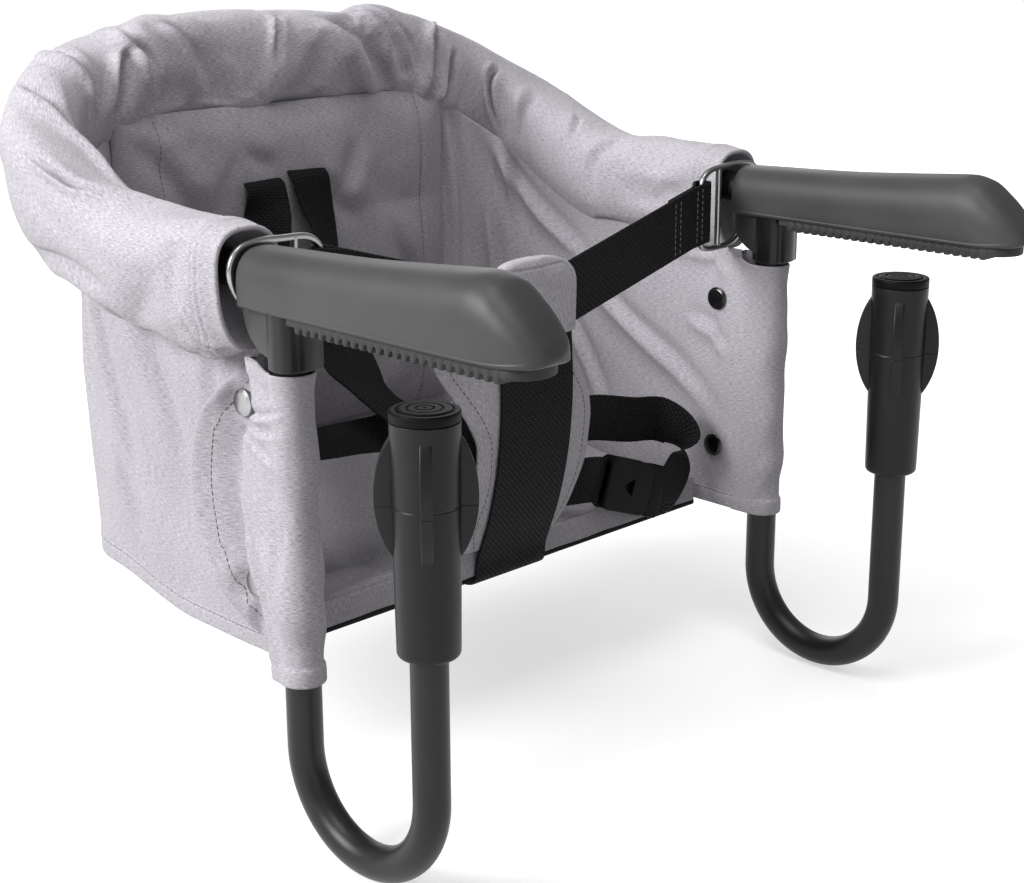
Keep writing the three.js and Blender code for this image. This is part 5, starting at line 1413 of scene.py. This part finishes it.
def makeCrotchPad():
    height = crotch["top"] - crotch["bottom"]
    up, across = edgedShares(height, 3, 2), edgedShares(2 * crotch["half"], 3, 2)
    heights = crotch["bottom"] + up[:, None] * height
    level = crotchWidthShares["height"]
    left, right = (crotch["half"] * readThrough(level, crotchWidthShares[side], up)[:, None]
                   for side in ("left", "right"))
    x = mix(-left, right, across[None])
    fromSide = np.minimum(across, 1 - across)[None] * (left + right)
    endSwell = np.sin(math.pi * mix(0.06, 0.94, up))[:, None] ** 0.5
    swell = np.sin(math.pi * across)[None] ** 0.5 * endSwell
    inBand = smooth((crotch["band"] - fromSide) / 0.8 + 0.5)
    groove = bell(fromSide - crotch["band"] + crotch["stitchIn"], 0.6)
    curl = 5.0 * smooth((np.abs(x) - 24) / 26) ** 1.5
    depth = (crotch["thickness"] + crotch["crown"] * swell) * mix(1, 0.45, inBand) - 0.6 * groove
    relief = 0.6 * rumpled(x, heights, 34, 53) * (1 - inBand)
    border = borderDistance(up * height, across * 100)
    rounded = rounding(border, 1.6)
    front = crotchFrontY(heights) + curl
    middle = front + depth * 0.35
    face = xyz(x, middle - (middle - front + 0.3 * groove) * rounded, heights)
    back = xyz(x, middle + (depth * 0.65 + relief) * rounded, heights)
    piece = makePiece("crotch_pad", [(face, False), (back, False)], marledGrey, "frame", ["crotch_pad"])
    nearHalf = fromSide[len(up) // 2][:len(across) // 2]
    column = np.argmin(np.abs(nearHalf - crotch["band"] + crotch["stitchIn"]))
    makeStitches("crotch_pad_stitches",
                 [grid[4:-4, place] for place in (-1 - column, column) for grid in (face, back)])


def makeCrotchCap():
    # a small padded pocket over the straps' joint, round at its top, with a seam inside its edge
    straight, rise = cap["straightShare"], np.sin(np.linspace(0, math.pi / 2, 36)[1:])
    share = np.concatenate([np.linspace(0, straight, 26), straight + (1 - straight) * rise])
    turn = np.linspace(0, fullTurn, 96, endpoint=False)
    past = np.maximum(share[:, None] - straight, 0) / (1.002 - straight)
    power = np.where(np.cos(turn)[None] < 0, 4.5, 2.2)
    narrow = np.maximum(1 - past ** power, 0) ** (1 / power)
    full = np.minimum(np.minimum(narrow, 1) * np.sin(math.pi * mix(0.2, 0.6, share))[:, None] * 1.1, 1)
    depth, width = cap["halfDepth"] * mix(0.3, 1, full), cap["halfWidth"] * mix(0.05, 1, narrow)
    cosine, sine = np.cos(turn)[None], np.sin(turn)[None]
    x = width * signedPower(cosine, 2 / 2.4)
    z = mix(cap["bottom"], cap["top"], share)[:, None] + 0 * x
    edge = np.minimum(cap["halfWidth"] * narrow - np.abs(x), (cap["top"] - z) * 1.1)
    groove = 0.7 * bell(edge - cap["seam"], 0.6) * (np.abs(sine) > 0.05)
    relief = 0.3 * rumpled(x, z, 20, 61) * np.abs(sine) - groove
    y = np.sign(sine) * (depth * np.abs(sine) ** (2 / 3) + relief)
    grid = closedEnds(xyz(cap["x"] + x, cap["y"] + y, z))
    piece = makePiece("crotch_cap", [(grid, True)], marledGrey, "frame", ["crotch_cap"])


diagonal = {"past": 24.8, "drop": 23, "bendBack": 5.25, "lapBack": 29.25, "stitchRows": (2.5, 6.5, 20, 24)}


def diagonalGrid(start):
    # one strip from the cap to the ring, round its inner bar and a short way back
    bar = legOffset - ring["inner"] + ring["innerBar"] / 2
    bend = bar - diagonal["bendBack"]
    ringMiddle = hoop["height"] + hoop["radius"] + ring["gap"] + ring["bar"] - ring["height"] / 2
    slope = (ringMiddle - cap["top"] + diagonal["drop"]) / (bend - start)
    wrap = math.hypot(ring["innerBar"], ring["bar"]) / 2 + ring["gap"] + webbing["thickness"] / 2
    frontY = ring["y"] - wrap
    backY = frontY + webbing["thickness"] + 0.2
    lapEnd = bar - diagonal["lapBack"]
    near = mix(lapEnd, bar, 0.6)
    turn = np.linspace(-math.pi / 2, math.pi / 2, 17)
    there = np.linspace((start, frontY), (lapEnd, frontY), 60)
    closer = np.linspace((lapEnd, frontY), (near, frontY), 12)[1:]
    share = smooth(np.linspace(0, 1, 8)[1:])
    bent = np.stack([bar + wrap * np.cos(turn), ring["y"] + wrap * np.sin(turn)], -1)
    leavingX = np.linspace(near, bent[-1, 0], 8)[::-1][1:]
    leaving = np.stack([leavingX, mix(bent[-1, 1], backY, share)], -1)
    lap = np.linspace((near, backY), (lapEnd, backY), 12)[1:]
    plan = np.concatenate([there, closer, bent, leaving, lap])
    height = ringMiddle - slope * np.maximum(bend - plan[:, 0], 0)
    origins = xyz(plan[:, 0], plan[:, 1], height)
    along = unit(np.gradient(plan, axis=0))
    normal = xyz(along[:, 1], -along[:, 0], 0 * along[:, 0])
    outline = flatOutline(webbing["diagonal"], webbing["thickness"])
    strap = closedEnds(carried(origins, sameWay((0, 0, 1), normal), normal, outline))
    rows = []
    for back in diagonal["stitchRows"]:
        x = lapEnd + back
        level = ringMiddle - slope * max(bend - x, 0)
        rows.append(xyz(x, frontY - webbing["thickness"] / 2, np.linspace(level - 14, level + 14, 12)))
    return strap, rows


def makeDiagonals():
    for side, sign in (("right", 1), ("left", -1)):
        strap, rows = diagonalGrid(diagonal["past"] + sign * cap["x"])
        flip = (sign, 1, 1)
        makePiece(side + "_diagonal_strap", [(strap * flip, True)], blackWebbing, "frame",
                  [side + "_diagonal_strap"])
        makeStitches(side + "_strap_stitches", [row * flip for row in rows])


# Waist belt: the two straps end at the buckle, whose long axis tilts down to the right

buckle = {
    "at": (82, 31, 56), "tilt": 20, "length": 36, "height": 29, "thickness": 10, "corner": 5, "plate": 2.6,
    "rail": 3, "window": 12, "strapLead": 6, "ventReach": 5.6,
}
tongue = {"base": 11, "corner": 2.5, "reach": 24, "prong": 4.2, "centre": 5, "thickness": 4}
# shares of the legs' offset, the hoop's depth and its height
leftWaistShares = [
    [-0.17, 0.96, 0.99], [-0.17, 0.905, 1.03], [-0.17, 0.872, 1.02], [-0.18, 0.858, 0.95],
    [-0.26, 0.81, 0.8], [-0.5, 0.66, 0.62], [-0.72, 0.45, 0.54], [-0.66, 0.3, 0.535],
    [-0.5, 0.27, 0.535], [-0.37, 0.262, 0.52], [-0.12, 0.25, 0.42], [0.18, 0.222, 0.31],
]
rightWaistShares = [
    [0.02, 0.96, 1.0], [0.015, 0.905, 1.045], [0.01, 0.872, 1.035], [0.02, 0.858, 0.97],
    [0.02, 0.83, 0.89], [-0.12, 0.68, 0.75], [-0.34, 0.44, 0.69], [-0.42, 0.3, 0.645],
    [-0.38, 0.23, 0.585], [-0.25, 0.208, 0.52], [0.012, 0.222, 0.46], [0.276, 0.231, 0.445],
    [0.466, 0.231, 0.437], [0.67, 0.231, 0.4],
    [0.79, 0.213, 0.385], [0.815, 0.168, 0.36], [0.81, 0.15, 0.295],
]
beltTailShares = [[-0.37, 0.25, 0.52], [-0.12, 0.238, 0.42], [0.1, 0.215, 0.335]]


def beltRoute(shares):
    return [tuple(np.array(row) * (legOffset, hoop["depth"], hoop["height"])) for row in shares]


def alongBuckle(distance):
    tilt = math.radians(buckle["tilt"])
    return tuple(np.array(buckle["at"]) + distance * np.array([math.cos(tilt), 0, -math.sin(tilt)]))


def makeBelt():
    sideways, upright, leaning = (1, 0, 0), (0, 0, 1), (0.7, 0.6, 0.25)
    half = buckle["length"] / 2
    left = beltRoute(leftWaistShares) + [alongBuckle(-half - buckle["strapLead"]), alongBuckle(-half - 0.6)]
    right = beltRoute(rightWaistShares) + [alongBuckle(half + buckle["strapLead"] + tongue["base"]),
                                           alongBuckle(half + tongue["base"] + 0.9)]
    width = webbing["waist"]
    leftHints = [sideways, sideways, sideways, (0.8, -0.3, 0.5)] + [leaning] * 5 + [upright] * 4
    makePiece("left_waist_strap", [(ribbonGrid(left, leftHints, width), True)], blackWebbing, "frame",
              ["left_waist_strap"])
    rightHints = [sideways, sideways, sideways, (0.8, 0.3, 0.4)] + [leaning] * 5 + [upright] * 8
    strap = makePiece("right_waist_strap", [(ribbonGrid(right, rightHints, width), True)], blackWebbing,
                      None, ["right_waist_strap"])
    # its last part, from the loop to the buckle, follows the released tongue
    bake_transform(strap)
    tail = ribbonGrid(beltRoute(beltTailShares), [upright] * 2, width)
    makePiece("belt_tail", [(tail, True)], blackWebbing, "frame", ["belt_tail"])


def setBuckle(grid):  # from the buckle's own length, depth and height to its place
    tilt = math.radians(buckle["tilt"])
    x, y, z = grid[..., 0], grid[..., 1], grid[..., 2]
    tilted = xyz(x * math.cos(tilt) + z * math.sin(tilt), y, z * math.cos(tilt) - x * math.sin(tilt))
    return tilted + buckle["at"]


def evenBox(width, height, corner, count):  # a rounded box, closed and read at evenly spaced lengths
    box = roundedBox(width, height, corner)
    return evenly(np.concatenate([box, box[:1]]), count)


def makeBuckle():
    length, height, depth = buckle["length"], buckle["height"], buckle["thickness"]
    angles = np.linspace(0, fullTurn, 160, endpoint=False)
    outline = atAngles(evenBox(length, height, buckle["corner"], 600), angles)
    reach = buckle["ventReach"] / (2 * np.cos((angles + math.pi / 3) % (fullTurn / 3) - math.pi / 3))
    vent = reach[:, None] * towards(angles)
    half, plate = depth / 2, buckle["plate"]
    faces = [
        (platesGrid(outline, -half, -half + plate, 1.1, vent), True),
        (platesGrid(outline, half - plate, half, 1.1), True),
    ]
    rail = buckle["length"] - buckle["window"]
    for sign in (-1, 1):
        start = np.array([-rail / 2 + 1 - buckle["window"] / 2, 0, sign * (height / 2 - buckle["rail"])])
        section = roundedBox(depth - 1, buckle["rail"], 0.6)
        places = np.linspace(start, start + (rail - 6, 0, 0), 8)
        rod = carried(places, sameWay((0, 1, 0), places), sameWay((0, 0, 1), places), section)
        faces.append((closedEnds(rod), True))
    body = [(setBuckle(grid), around) for grid, around in faces]
    makePiece("buckle_body", body, bucklePlastic, "frame", ["buckle_body"], sharp=40)
    start = length / 2 + 0.3
    base = evenBox(tongue["base"], height, tongue["corner"], 161)[:-1]
    pieces = [(platesGrid(base, -half * 0.8, half * 0.8, 1.0) + (start + tongue["base"] / 2, 0, 0), True)]
    outer = 11.5 - 0.6 - tongue["prong"] / 2
    for place, wide in ((-outer, tongue["prong"]), (0, tongue["centre"]), (outer, tongue["prong"])):
        share = np.linspace(0, 1, 24)
        swell = 1 + 0.35 * bell(share - 0.62, 0.14) * (place != 0)
        taper = 1 - 0.4 * smooth((share - 0.86) / 0.14)
        section = roundedBox(tongue["thickness"], 1, 0.3)
        outline = section[None] * np.stack([np.ones(24), wide * swell * taper], -1)[:, None]
        places = xyz(start + 2 - share * (tongue["reach"] + 2), 0, place)
        prong = carried(places, sameWay((0, 1, 0), places), sameWay((0, 0, 1), places), outline)
        pieces.append((closedEnds(prong), True))
    held = [(setBuckle(grid), around) for grid, around in pieces]
    makePiece("buckle_tongue", held, bucklePlastic, "tongue", ["buckle_tongue"], sharp=40)


makeBolster()
makeWalls()
print("stage: bolster and walls")
makeBackPad()
makeCushion()
makeBaseCover()
makeFlaps()
makeSnaps()
print("stage: seat, flaps and snaps")
makeCrotchPad()
makeCrotchCap()
makePiece("crotch_strap", [(ribbonGrid(crotchRoute, [(1, 0, 0)] * 2, webbing["crotch"]), True)],
          blackWebbing, "frame", ["crotch_strap"])
makeDiagonals()
makeBelt()
makeBuckle()
print("stage: webbing and buckle")

# Room, lamps and camera

room = {"floor": -0.2393, "size": 6.0, "light": 0.33}


def makeRoom():
    # a pale floor that shows white to the camera and in shiny parts, but keeps the shadow
    half = room["size"] / 2
    corners = [(-half, -half, room["floor"]), (half, -half, room["floor"]),
               (half, half, room["floor"]), (-half, half, room["floor"])]
    mesh = bpy.data.meshes.new("pale_floor")
    mesh.from_pydata(corners, [], [(0, 1, 2, 3)])
    floor = bpy.data.objects.new("pale_floor", mesh)
    bpy.context.scene.collection.objects.link(floor)
    made = NodeTree("pale_floor")
    rays = made.add("ShaderNodeLightPath")[0].node.outputs
    seen = made.sums("MAXIMUM", rays["Is Camera Ray"],
                     made.sums("MAXIMUM", rays["Is Glossy Ray"], rays["Is Transmission Ray"]))
    dull = made.add("ShaderNodeBsdfDiffuse", {"Color": grey(0.4)})[0]
    bright = made.add("ShaderNodeBsdfDiffuse", {"Color": grey(0.6)})[0]
    away = made.add("ShaderNodeVectorMath", {0: made.add("ShaderNodeTexCoord")[3]}, operation="LENGTH")[1]
    fading = {"Value": away, "From Min": 0.3, "From Max": 1.6, "To Min": 0.55}
    strength = made.add("ShaderNodeMapRange", fading)[0]
    glow = made.add("ShaderNodeEmission", {"Color": grey(1.0), "Strength": strength})[0]
    shown = made.add("ShaderNodeAddShader", {0: bright, 1: glow})[0]
    both = made.add("ShaderNodeMixShader", {0: seen, 1: dull, 2: shown})[0]
    made.add("ShaderNodeOutputMaterial", {"Surface": both})
    mesh.materials.append(made.material)


def makeWorld():
    world = bpy.data.worlds.new("white_room")
    bpy.context.scene.world = world
    world.use_nodes = True
    tree = world.node_tree
    tree.nodes.clear()
    rays = tree.nodes.new("ShaderNodeLightPath")
    seen = tree.nodes.new("ShaderNodeMath")
    seen.operation = "MAXIMUM"
    tree.links.new(rays.outputs["Is Camera Ray"], seen.inputs[0])
    tree.links.new(rays.outputs["Is Transmission Ray"], seen.inputs[1])
    both = tree.nodes.new("ShaderNodeMixShader")
    tree.links.new(seen.outputs[0], both.inputs[0])
    # the room lights the part less brightly than it looks
    for place, strength in ((1, room["light"]), (2, 1.0)):
        white = tree.nodes.new("ShaderNodeBackground")
        white.inputs["Color"].default_value = (1, 1, 1, 1)
        white.inputs["Strength"].default_value = strength
        tree.links.new(white.outputs[0], both.inputs[place])
    out = tree.nodes.new("ShaderNodeOutputWorld")
    tree.links.new(both.outputs[0], out.inputs["Surface"])


lamps = [
    {"name": "key_softbox", "at": (-1.8, 0.65, 0.95), "size": 1.0, "power": 52},
    {"name": "top_softbox", "at": (-0.6, -0.2, 1.9), "size": 1.2, "power": 20},
    {"name": "back_softbox", "at": (1.3, 1.5, 0.6), "size": 1.4, "power": 10},
    {"name": "front_softbox", "at": (-0.6, -1.9, 0.4), "size": 1.2, "power": 3.5},
]


def placeAt(held, at, right, up, back):  # puts an object at a place, with its three directions
    held.matrix_world = Matrix.Translation(at) @ Matrix((right, up, back)).transposed().to_4x4()


def makeLamps():
    target = np.array([0, 0.05, -0.03])
    for lamp in lamps:
        light = bpy.data.lights.new(lamp["name"], "AREA")
        light.shape = "DISK"
        light.size = lamp["size"]
        light.energy = lamp["power"]
        held = bpy.data.objects.new(lamp["name"], light)
        bpy.context.scene.collection.objects.link(held)
        back = unit(np.array(lamp["at"]) - target)
        right = unit(np.cross((0, 0, 1), back))
        placeAt(held, lamp["at"], right, np.cross(back, right), back)


view = {
    "azimuth": -45.03, "elevation": 16.41, "roll": -0.28, "at": (-0.6262, -0.5923, 0.1679),
    "lensPixels": 1850, "pixels": 1024, "sensor": 36,
}


def makeCamera():
    camera = bpy.data.cameras.new("camera")
    camera.sensor_width = view["sensor"]
    camera.lens = view["lensPixels"] * view["sensor"] / view["pixels"]
    held = bpy.data.objects.new("camera", camera)
    bpy.context.scene.collection.objects.link(held)
    azimuth, elevation, roll = (math.radians(view[key]) for key in ("azimuth", "elevation", "roll"))
    right = np.array([math.cos(azimuth), math.sin(azimuth), 0])
    back = np.array([math.sin(azimuth) * math.cos(elevation), -math.cos(azimuth) * math.cos(elevation),
                     math.sin(elevation)])
    up = np.cross(back, right)
    turnedRight = right * math.cos(roll) + up * math.sin(roll)
    turnedUp = up * math.cos(roll) - right * math.sin(roll)
    placeAt(held, view["at"], turnedRight, turnedUp, back)
    bpy.context.scene.camera = held


makeCamera()
makeWorld()
makeLamps()
makeRoom()
bpy.context.scene.view_settings.view_transform = "Standard"
print("stage: room, lamps and camera")
